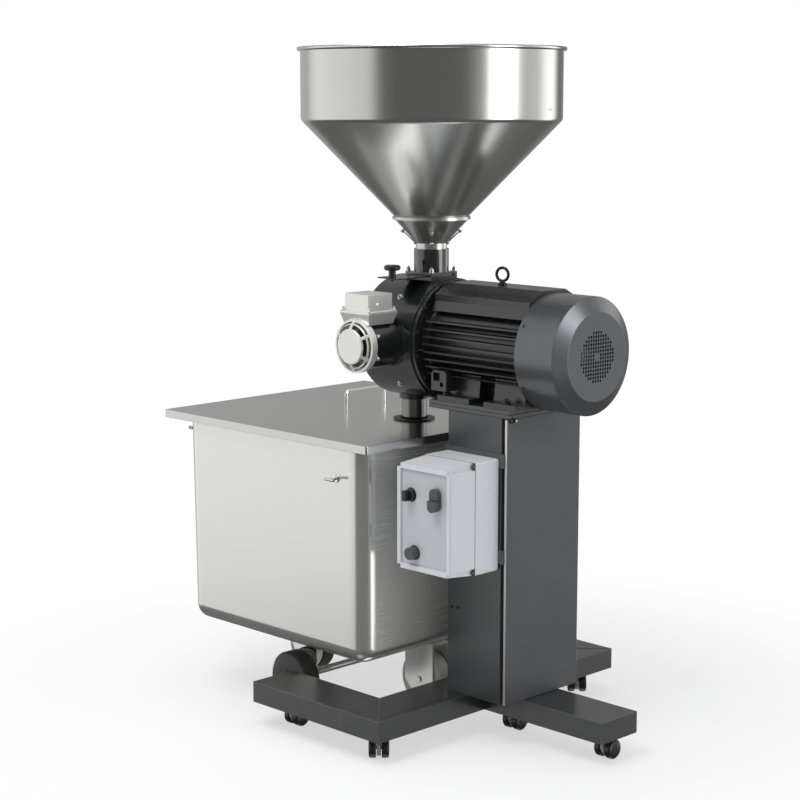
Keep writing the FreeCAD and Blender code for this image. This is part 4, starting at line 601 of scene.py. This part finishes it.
def zone(key, axis, low, high, colour):
    # Gives another colour to what lies between two places along one axis.
    tree = finishes[key].node_tree
    base = tree.nodes["Principled BSDF"].inputs["Base Color"]
    along = split(tree, object_place(tree))[axis]
    inside = maths(tree, "MULTIPLY", maths(tree, "GREATER_THAN", along, low),
                   maths(tree, "LESS_THAN", along, high))
    join(tree, blended(tree, inside, base.links[0].from_socket, colour), base)


for zone_facts in (PANEL_ZONE, STRAP_ZONE):
    zone("box_plastic", "Y", *zone_facts)
print("zones of the box:", [zone_facts[:2] for zone_facts in (PANEL_ZONE, STRAP_ZONE)])

# %% [markdown]
# ## Dress the parts
# Every solid gets the finish that its real piece has. One table of finish and pieces is easier to check
# against the photograph than a line for each piece, and what it leaves out is printed.

# %% Dress the parts
DRESS = {
    "spun_steel": ["hopper_bowl", "hopper_funnel"],
    "chute_steel": ["outlet_chute"],
    "tub_steel": ["bin_tub"],
    "lid_steel": ["bin_lid"],
    "polished_steel": ["lid_handle", "bin_axle", "bin_catch"],
    "fork_steel": ["front_bin_fork", "rear_bin_fork"],
    "ground_steel": ["rotor_shaft", "rotating_disc", "stationary_disc", "adjusting_ring", "adjust_pinion"],
    "zinc_screw": ["mill_bolts"],
    "black_paint": ["near_arm", "far_arm", "cross_beam", "rear_leg", "motor_plate"],
    "column_paint": ["column_shell"],
    "lit_cover_paint": ["column_cover"],
    "mill_casting": ["mill_housing", "mill_cover", "gearmotor_body"],
    "collar_enamel": ["inlet_collar"],
    "motor_casting": ["motor_frame", "motor_flange", "motor_terminal_box"],
    "cowl_sheet": ["fan_cowl"],
    "black_steel": ["eye_bolt", "slide_gate"],
    "silver_casting": ["gearmotor_cover", "gearmotor_box"],
    "box_plastic": ["enclosure_base", "enclosure_lid"],
    "black_plastic": ["selector_knob", "gate_knob", "cooling_fan"],
    "button_grey": ["round_button", "start_button", "stop_button"],
    "seal_rubber": ["lid_ring"],
    "wheel_rubber": ["near_bin_wheel", "far_bin_wheel", "front_caster_wheel"],
    "highlight_tread": ["rear_caster_wheel"],
    "caster_grey": [name for name in parts if name.endswith("_caster_fork")],
    "caster_black": [name for name in parts if name.endswith("_caster_wheels")],
}
dressed = set()
for key, names in DRESS.items():
    for name in names:
        for material_slot in parts[name].material_slots:
            material_slot.material = finishes[key]
        dressed.add(name)
print("dressed:", len(dressed), "left:", sorted(set(parts) - dressed))

# %% [markdown]
# ## Small hardware
# The solids carry the machine's forms. What is still missing is what a fitter's hands would touch:
# screws, washers, clips, bezels, wheel caps. Nearly all of it is turned on a lathe, so each is drawn once
# as a half outline that is spun about its own axis, and then set where it belongs. All lengths in these
# cells are millimetres.

# %% Shapes
MM = 0.001
SAME_POINT = 0.00001
HEAD_CHAMFER = 0.18


def turned(outline, steps=24):
    # Spins a half outline of (radius, height) about Z.
    shape = bmesh.new()
    points = [shape.verts.new((radius * MM, 0, height * MM)) for radius, height in outline]
    lines = [shape.edges.new(pair) for pair in zip(points, points[1:])]
    bmesh.ops.spin(shape, geom=points + lines, cent=(0, 0, 0), axis=(0, 0, 1), angle=math.tau, steps=steps,
                   use_merge=True)
    bmesh.ops.remove_doubles(shape, verts=shape.verts, dist=SAME_POINT)
    bmesh.ops.recalc_face_normals(shape, faces=shape.faces)
    return shape


def soften(shape, edges, amount):
    bmesh.ops.bevel(shape, geom=edges, offset=amount * MM, affect="EDGES", segments=2, profile=0.5,
                    material=-1)


def hexagon(across, tall):
    # A hexagon head: a six sided prism with its upper rim turned down a little.
    shape = bmesh.new()
    radius = across / math.sqrt(3) * MM
    bmesh.ops.create_cone(shape, cap_ends=True, segments=6, radius1=radius, radius2=radius, depth=tall * MM)
    bmesh.ops.translate(shape, vec=(0, 0, tall / 2 * MM), verts=shape.verts)
    middle = tall / 2 * MM
    soften(shape, [edge for edge in shape.edges if all(vert.co.z > middle for vert in edge.verts)],
           tall * HEAD_CHAMFER)
    return shape


def block(sides, corner, softened):
    # A box with softened edges, from its lowest corner.
    shape = bmesh.new()
    bmesh.ops.create_cube(shape, size=1)
    bmesh.ops.scale(shape, vec=[side * MM for side in sides], verts=shape.verts)
    centre = [(low + side / 2) * MM for low, side in zip(corner, sides)]
    bmesh.ops.translate(shape, vec=centre, verts=shape.verts)
    soften(shape, shape.edges[:], softened)
    return shape


# %% Places
UP = (0, 0, 1)
MOTOR_WAY = (1, 0, 0)
COVER_WAY = (-1, 0, 0)
FRONT_WAY = (0, -1, 0)
FAR_WAY = (0, 1, 0)
HERE = [Matrix.Identity(4)]
BOTH = (-1, 1)


def stood(place, outward, turn=0.0):
    # The matrix that sets a shape at a place, with its own Z pointing outward.
    lie = Vector(outward).to_track_quat("Z", "Y").to_matrix().to_4x4()
    return Matrix.Translation(Vector(place) * MM) @ lie @ Matrix.Rotation(turn, 4, "Z")


# %% One piece from its shapes
SHARP_FROM = math.radians(35)


def joined(units):
    # Puts several shapes, each at its places, in one mesh.
    whole = bmesh.new()
    for shape, places in units:
        unit = bpy.data.meshes.new("unit")
        shape.to_mesh(unit)
        shape.free()
        for matrix in places:
            before = len(whole.verts)
            whole.from_mesh(unit)
            whole.verts.ensure_lookup_table()
            bmesh.ops.transform(whole, matrix=matrix, verts=whole.verts[before:])
        bpy.data.meshes.remove(unit)
    return whole


def piece(name, look, body, slot, *units):
    # Each unit is a shape with the list of the places where it stands.
    whole = joined(units)
    mesh = bpy.data.meshes.new(name)
    whole.to_mesh(mesh)
    whole.free()
    mesh.materials.append(finishes[look])
    mesh.polygons.foreach_set("use_smooth", [True] * len(mesh.polygons))
    mesh.set_sharp_from_angle(angle=SHARP_FROM)
    made = placed(name, mesh)
    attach(made, body)
    print(name, "faces:", len(mesh.polygons))


# %% Screws and washers
SCREW = [(0, 1.3), (1.2, 1.3), (1.5, 2.4), (2.6, 2.2), (3.6, 1.4), (4.0, 0), (0, 0)]
RIM = 0.4


def screw(size):
    # A round head with a hollow for the key.
    return turned([(radius * size, height * size) for radius, height in SCREW], steps=20)


def washer(inner, outer, thick):
    return turned([(inner, 0), (inner, thick), (outer - RIM, thick), (outer, thick - RIM), (outer, 0),
                   (inner, 0)], steps=28)


# %% [markdown]
# ## On the mill
# The inlet's cap is held by four studs on washers. Four capped bolts stand out round the drum, and six
# hexagon bolts hold the cover plate. The bolts of one circle are the same, so one shape is set at several
# angles about the mill's axis.

# %% Round the mill's axis
AXIS_Z = 968


def round_mill(x, radius, degrees):
    # A place on a circle about the mill's axis, and the way out from the axis there.
    angle = math.radians(degrees)
    outward = Vector((0, math.cos(angle), math.sin(angle)))
    return Vector((x, 0, AXIS_Z)) + outward * radius, outward


def evenly(count, first):
    # The angles of several things that share a full turn.
    return [first + 360 / count * number for number in range(count)]


# %% Inlet cap and drum
CAP_TOP = 1134.6
CAP_STUD_REACH = 41
cap_places = [stood((a * CAP_STUD_REACH, b * CAP_STUD_REACH, CAP_TOP), UP) for a in BOTH for b in BOTH]
stud_end = turned([(0, 13), (2.2, 13), (3, 12), (3, 8.5), (0, 8.5)], steps=16)
piece("inlet_cap_studs", "zinc_screw", "frame", "bright_steel",
      (washer(5.6, 7.6, 1.2), cap_places), (stud_end, cap_places))

DRUM_RADIUS = 153.6
drum_places = [stood(*round_mill(0, DRUM_RADIUS, degrees)) for degrees in evenly(4, 45)]
bolt_cap = turned([(5.4, 4.6), (5.4, 5.6), (4.6, 6.8), (2.8, 6.8), (2.6, 4.9), (0, 4.9)], steps=20)
piece("drum_bolt_caps", "zinc_screw", "frame", "bright_steel",
      (washer(5.6, 8.5, 1.8), drum_places), (bolt_cap, drum_places))

# %% Cover plate and cap side
COVER_FACE = -107
COVER_CIRCLE = 132
cover_places = [stood(round_mill(COVER_FACE, COVER_CIRCLE, degrees)[0], COVER_WAY)
                for degrees in evenly(6, 0)]
piece("cover_bolts", "black_steel", "frame", "black_steel",
      (hexagon(13, 6), cover_places), (washer(4, 9, 1.4), cover_places))
CAP_SIDE = (45.8, 33, 1128)
piece("cap_side_screw", "black_steel", "frame", "black_steel", (screw(1.0), [stood(CAP_SIDE, MOTOR_WAY)]))

# %% [markdown]
# ## On the gear motor
# Screws sit in the grooves of the terminal box's corners, four more hold the fan cover to the body, and a
# flat plug closes a cable hole that isn't used. All are small turned forms.

# %% Gear motor hardware
BOX_MIDDLE_Y = -219.5
BOX_LEDGE_Z = 1052.9
BOX_HALF_X = 45.5
BOX_HALF_Y = 42.5
box_places = [stood((a * BOX_HALF_X, BOX_MIDDLE_Y + b * BOX_HALF_Y, BOX_LEDGE_Z), UP)
              for a in BOTH for b in BOTH]
box_post = turned([(0, 0), (5.2, 0), (5.2, 3.4), (4.6, 4.2), (3.2, 4.2), (3.2, 9), (2.6, 9.6), (0, 9.6)],
                  steps=20)
piece("gear_box_screws", "silver_casting", "frame", "silver_casting", (box_post, box_places))


def round_gear_motor(y, radius, degrees):
    # The gear motor lies along Y, level with the mill's axis.
    angle = math.radians(degrees)
    outward = Vector((math.cos(angle), 0, math.sin(angle)))
    return Vector((0, y, AXIS_Z)) + outward * radius, outward


LUG_Y = -245
LUG_RADIUS = 60
LUG_TURNS = (25, -25, 155, 205)
lug_places = [stood(*round_gear_motor(LUG_Y, LUG_RADIUS, degrees)) for degrees in LUG_TURNS]
lug = turned([(0, -3), (6, -3), (6, 3.2), (4.6, 4.2), (4.6, 8.2), (3.9, 9.2), (1.6, 9.2), (1.4, 7.8),
              (0, 7.8)], steps=20)
piece("fan_cover_screws", "zinc_screw", "frame", "bright_steel", (lug, lug_places))
plug = turned([(0, 1.1), (3.4, 1.1), (4.2, 0.6), (5.3, 0.6), (5.3, 0.0), (0, 0.0)])
PLUG_PLACE = (43.2, -230, 1069.5)
piece("knockout_plug", "silver_casting", "frame", "silver_casting", (plug, [stood(PLUG_PLACE, MOTOR_WAY)]))

# %% [markdown]
# ## On the motor
# The flange's bolts stand round its rim, the cowl's screws round its straight part, and the feet are
# bolted down through washers. Thin webs stiffen the flange's neck, and a cable gland stands on the end of
# the terminal box. The webs are softened blocks, because such a web is cast and has no sharp edge.

# %% Flange
FLANGE_FACE = 87.8
FLANGE_CIRCLE = 139
FLANGE_TURNS = (12, 38, -12, -38, 142, 168, 192, 218)
flange_places = [stood(round_mill(FLANGE_FACE, FLANGE_CIRCLE, degrees)[0], MOTOR_WAY)
                 for degrees in FLANGE_TURNS]
piece("flange_bolts", "black_steel", "frame", "black_steel",
      (hexagon(10, 5), flange_places), (washer(3, 6.4, 1.0), flange_places))
WEB = (14, 35, 4)
WEB_CORNERS = ((88, -139, 953), (88, 104, 953))
webs = [(block(WEB, corner, softened=0.8), HERE) for corner in WEB_CORNERS]
piece("flange_webs", "motor_casting", "frame", "dark_casting", *webs)

# %% Feet and cowl
FOOT_TOP = 849.9
FOOT_HALF = 118
FOOT_TURN = 0.3
FOOT_ENDS = (170, 365)
foot_places = [stood((x, side * FOOT_HALF, FOOT_TOP), UP, FOOT_TURN) for x in FOOT_ENDS for side in BOTH]
bolt_end = turned([(0, 13), (3.8, 13), (4.8, 12), (4.8, 7.4), (0, 7.4)], steps=16)
piece("foot_bolts", "black_steel", "frame", "black_steel",
      (hexagon(17, 7.5), foot_places), (washer(6, 12.5, 2.2), foot_places), (bolt_end, foot_places))
COWL_SCREW_X = 420
COWL_RADIUS = 141.3
COWL_TURNS = (149, 211, 31, -31)
cowl_places = [stood(*round_mill(COWL_SCREW_X, COWL_RADIUS, degrees)) for degrees in COWL_TURNS]
piece("cowl_screws", "black_steel", "frame", "black_steel", (screw(1.0), cowl_places))

# %% Terminal box
TERMINAL_FACE = 163.8
TERMINAL_ENDS = (136, 292)
TERMINAL_LEVELS = (1018, 1084)
lid_corners = [stood((x, TERMINAL_FACE, z), FAR_WAY) for x in TERMINAL_ENDS for z in TERMINAL_LEVELS]
piece("terminal_screws", "zinc_screw", "frame", "bright_steel", (screw(1.1), lid_corners))
gland = turned([(0, 0), (14, 0), (14, 5), (12.5, 6), (12.5, 13), (10, 17), (6.5, 17.5), (5.5, 14), (0, 14)],
               steps=28)
GLAND_PLACE = (299.8, 115, 1048)
piece("terminal_gland", "black_plastic", "frame", "black_plastic", (gland, [stood(GLAND_PLACE, MOTOR_WAY)]))

# %% [markdown]
# ## On the hopper
# A rivet's head shows on the bowl at both ends of one diameter. Four wire clips hold the funnel: each
# hooks over a stud that is welded to the cone and runs down to the neck. A bent curve could make the
# wire, but seen from here it is straight, so a thin turned rod between its two ends is enough.


# %% Round the hopper's axis
def round_hopper(radius, z, degrees):
    angle = math.radians(degrees)
    outward = Vector((math.cos(angle), math.sin(angle), 0))
    return outward * radius + Vector((0, 0, z)), outward


# %% Rivets of the hopper
RIVET_RADIUS = 325.6
RIVET_Z = 1540
RIVET_TURNS = (15.5, 195.5)
rivet = turned([(0, 2.6), (2.2, 2.3), (3.8, 1.2), (4.6, 0), (0, 0)], steps=20)
rivet_places = [stood(*round_hopper(RIVET_RADIUS, RIVET_Z, degrees)) for degrees in RIVET_TURNS]
piece("hopper_rivets", "polished_steel", "frame", "stainless", (rivet, rivet_places))

# %% Clips of the funnel
STUD_RADIUS = 70
STUD_Z = 1238
NECK_RADIUS = 41.5
NECK_Z = 1207
CONE_LEAN = Vector((0, 0, -0.9))
HOOK_REACH = 4
head_places = []
wire_places = []
for degrees in evenly(4, -45):
    head, outward = round_hopper(STUD_RADIUS, STUD_Z, degrees)
    foot = round_hopper(NECK_RADIUS, NECK_Z, degrees)[0]
    along = head + outward * HOOK_REACH - foot
    head_places.append(stood(head, outward + CONE_LEAN))
    wire_places.append(stood(foot, along))
# All four wires are equally long, and each ends a millimetre short of its hook.
wire_end = along.length - 1
clip_stud = turned([(0, -6), (3.4, -6), (3.4, 4), (4.8, 4.6), (4.8, 6.6), (3.8, 7.4), (0, 7.4)], steps=18)
wire = turned([(0, 0), (1.7, 0), (1.7, wire_end), (0, wire_end)], steps=12)
clip_foot = turned([(0, -5), (3.6, -5), (4.4, -4), (4.4, 1.4), (3.4, 2.4), (0, 2.4)], steps=16)
piece("funnel_clips", "polished_steel", "frame", "bright_steel",
      (clip_stud, head_places), (wire, wire_places), (clip_foot, wire_places))

# %% [markdown]
# ## On the column
# The cover's folded edges show as two bright lines from top to bottom, so a thin pale metal strip stands
# on each as a painted highlight. Two small screws show low on the column's front, and a small latch with a
# bright pin locks the cover.

# %% Column hardware
# Thin pale strips paint the highlight that the cover's folded edges catch.
STRIP = (6.6, 0.8, 699)
STRIP_CORNERS = ((375.2, -133.5, 115), (375.2, 132.7, 115))
strips = [(block(STRIP, corner, softened=0.2), HERE) for corner in STRIP_CORNERS]
piece("cover_edge_highlights", "edge_highlight_metal", "frame", "bright_steel", *strips)
COLUMN_FACE = -132.8
COLUMN_SCREWS = ((204, 328), (224, 329))
column_screws = [stood((x, COLUMN_FACE, z), FRONT_WAY) for x, z in COLUMN_SCREWS]
piece("column_screws", "black_steel", "frame", "black_steel", (screw(1.0), column_screws))
LATCH = (9, 19, 11)
LATCH_CORNER = (378, -126, 806)
latch = block(LATCH, LATCH_CORNER, softened=1.2)
piece("cover_latch", "black_steel", "frame", "black_steel", (latch, HERE))
pin = turned([(0, 0), (3.6, 0), (3.6, 5), (2.8, 6), (1.2, 6), (1.0, 4.6), (0, 4.6)], steps=20)
PIN_PLACE = (386.8, -112, 812)
piece("latch_pin", "polished_steel", "frame", "bright_steel", (pin, [stood(PIN_PLACE, MOTOR_WAY)]))

# %% [markdown]
# ## On the control box
# A screw sits at the end of each corner channel, a sealing strip lies between the box's two halves, and a
# bezel stands round the knob and round the round control. The bezels are spun rings, and the hole of the
# second one is wide enough for its control to travel through.

# %% Control box hardware
CHANNEL_Y = -217
CHANNEL_SIDES = (191.5, 353.5)
CHANNEL_LEVELS = (455, 710.5)
channels = [stood((x, CHANNEL_Y, z), FRONT_WAY) for x in CHANNEL_SIDES for z in CHANNEL_LEVELS]
sleeve = turned([(0, 2), (1.4, 2), (1.6, 7), (3.4, 7), (3.9, 6.2), (3.9, 0), (0, 0)], steps=20)
piece("box_screws", "button_grey", "frame", "black_plastic", (sleeve, channels))
SEAL = (172.8, 1.6, 272.8)
SEAL_CORNER = (185.6, -217.8, 446.6)
seal = block(SEAL, SEAL_CORNER, softened=0.3)
piece("box_seal", "button_grey", "frame", "black_rubber", (seal, HERE))

# %% Bezels
PANEL_Y = -300.0
KNOB_PLACE = (228, PANEL_Y, 638)
ROUND_PLACE = (240, PANEL_Y, 499)
knob_ring = turned([(8.5, -0.1), (8.5, 0.35), (16.6, 0.35), (17.4, 0.0), (17.4, -0.1)], steps=40)
piece("knob_bezel", "black_plastic", "frame", "black_plastic",
      (knob_ring, [stood(KNOB_PLACE, FRONT_WAY)]))
round_ring = turned([(15.6, -0.1), (15.6, 3.2), (16.2, 3.6), (17.3, 3.0), (17.8, 1.6), (17.8, -0.1),
                     (15.6, -0.1)], steps=40)
piece("round_bezel", "black_plastic", "frame", "black_plastic",
      (round_ring, [stood(ROUND_PLACE, FRONT_WAY)]))

# %% [markdown]
# ## Under the bin
# The wheels are moulded: a pale disc fills the dish of each caster wheel and the inner side of each axle
# wheel, and a black cap closes the outer side over the axle's end. Each disc rides its own wheel's body,
# so it turns with the wheel.

# %% Wheel discs and caps
WHEEL_HALF = 22.5
WHEEL_Z = 71
AXLE_X = -252
AXLE_HALF = 244
DISC = [(10.5, -2.1), (10.5, 0.8), (24, 0.8), (27, -0.6), (60, -0.6), (62, 0.4), (66.5, 0.4), (68, -2.1),
        (10.5, -2.1)]
WHEEL_CAP = [(0, 8.6), (20, 8.4), (24, 3.4), (60, 3.0), (66, 1.4), (67.5, -1.5), (0, -1.5)]
# Each wheel has its body, its place and the sides that show a disc.
WHEELS = (("front", "front_roller", -457, 0, BOTH), ("rear", "rear_roller", -13, 0, BOTH),
          ("near", "near_wheel", AXLE_X, -AXLE_HALF, (1,)), ("far", "far_wheel", AXLE_X, AXLE_HALF, (-1,)))
for name, body, x, y, sides in WHEELS:
    disc_places = [stood((x, y + side * WHEEL_HALF, WHEEL_Z), (0, side, 0)) for side in sides]
    piece(name + "_wheel_discs", "pale_plastic", body, "wheel_rubber", (turned(DISC, steps=48), disc_places))
for name, body, side in (("near", "near_wheel", -1), ("far", "far_wheel", 1)):
    cap_place = stood((AXLE_X, side * (AXLE_HALF + WHEEL_HALF), WHEEL_Z), (0, side, 0))
    piece(name + "_wheel_cap", "caster_black", body, "wheel_rubber",
          (turned(WHEEL_CAP, steps=48), [cap_place]))

# %% [markdown]
# ## Caps of the twin casters
# A twin caster has a wheel on each side of its web, and a smooth cap closes each wheel. The six casters
# stand at their own swivel angles, so their caps are placed from the swivel's axis, the trail and the
# angle, and ride the wheels.

# %% Caster caps
TWIN_TRAIL = 14
TWIN_FACE = 24
TWIN_Z = 24
TWIN_CAP = [(0, 1.1), (12, 1.0), (18, 0.5), (20, -0.2), (20.4, -1.4), (0, -1.4)]
# Each caster has the place of its swivel and the way its wheels trail, in degrees.
TWINS = (("near_arm", -125, -368, 90), ("far_arm", -125, 368, 90), ("near_corner", 187, -368, -45),
         ("far_corner", 187, 368, -45), ("leg_root", 285, 0, 90), ("leg_tip", 582, 0, 90))
for name, x, y, degrees in TWINS:
    angle = math.radians(degrees)
    trailing = Vector((math.cos(angle), math.sin(angle), 0))
    axle = Vector((-math.sin(angle), math.cos(angle), 0))
    middle = Vector((x, y, TWIN_Z)) + trailing * TWIN_TRAIL
    twin_places = [stood(middle + axle * side * TWIN_FACE, axle * side) for side in BOTH]
    piece(name + "_caster_caps", "caster_black", name + "_twins", "twin_tread",
          (turned(TWIN_CAP, steps=32), twin_places))

# %% [markdown]
# ## The welds of the base
# Arms and cross beam meet in a mitre, and the weld across it is ground nearly flat before painting. A
# long low block with softened edges gives the faint line that is left.

# %% Weld beads
CORNER = (0.187, 0.368, 0.113)
BEAD = (182, 2.4, 0.9)
BEAD_CORNER = (-91, -1.2, -0.3)
MITRE = math.pi / 4


def mitre(side):
    # The corner's place is in metres, as a matrix wants it.
    turn = Matrix.Rotation(side * MITRE, 4, "Z")
    return Matrix.Translation((CORNER[0], side * CORNER[1], CORNER[2])) @ turn


beads = [(block(BEAD, BEAD_CORNER, softened=0.3), [mitre(side)]) for side in BOTH]
piece("base_welds", "column_paint", "frame", "black_paint", *beads)

# %% [markdown]
# ## The ring of the tub
# A small ring on a stalk stands at the tub's near corner, away from the column. Both are turned shapes, and
# they ride the bin's body, so they roll out with the tub.

# %% Tub ring
ring = turned([(3.2, -1.6), (4.8, -1.6), (4.8, 1.6), (3.2, 1.6), (3.2, -1.6)])
stalk = turned([(0, -1), (4.6, -1), (4.6, 1.2), (1.8, 2.0), (1.8, 6.5), (0, 6.5)], steps=18)
RING_PLACE = (-577, -322, 702)
RING_LEAN = (0, 1, 0.2)
STALK_PLACE = (-566.6, -322, 702)
piece("tub_ring", "polished_steel", "bin", "bright_steel",
      (ring, [stood(RING_PLACE, RING_LEAN)]), (stalk, [stood(STALK_PLACE, COVER_WAY)]))
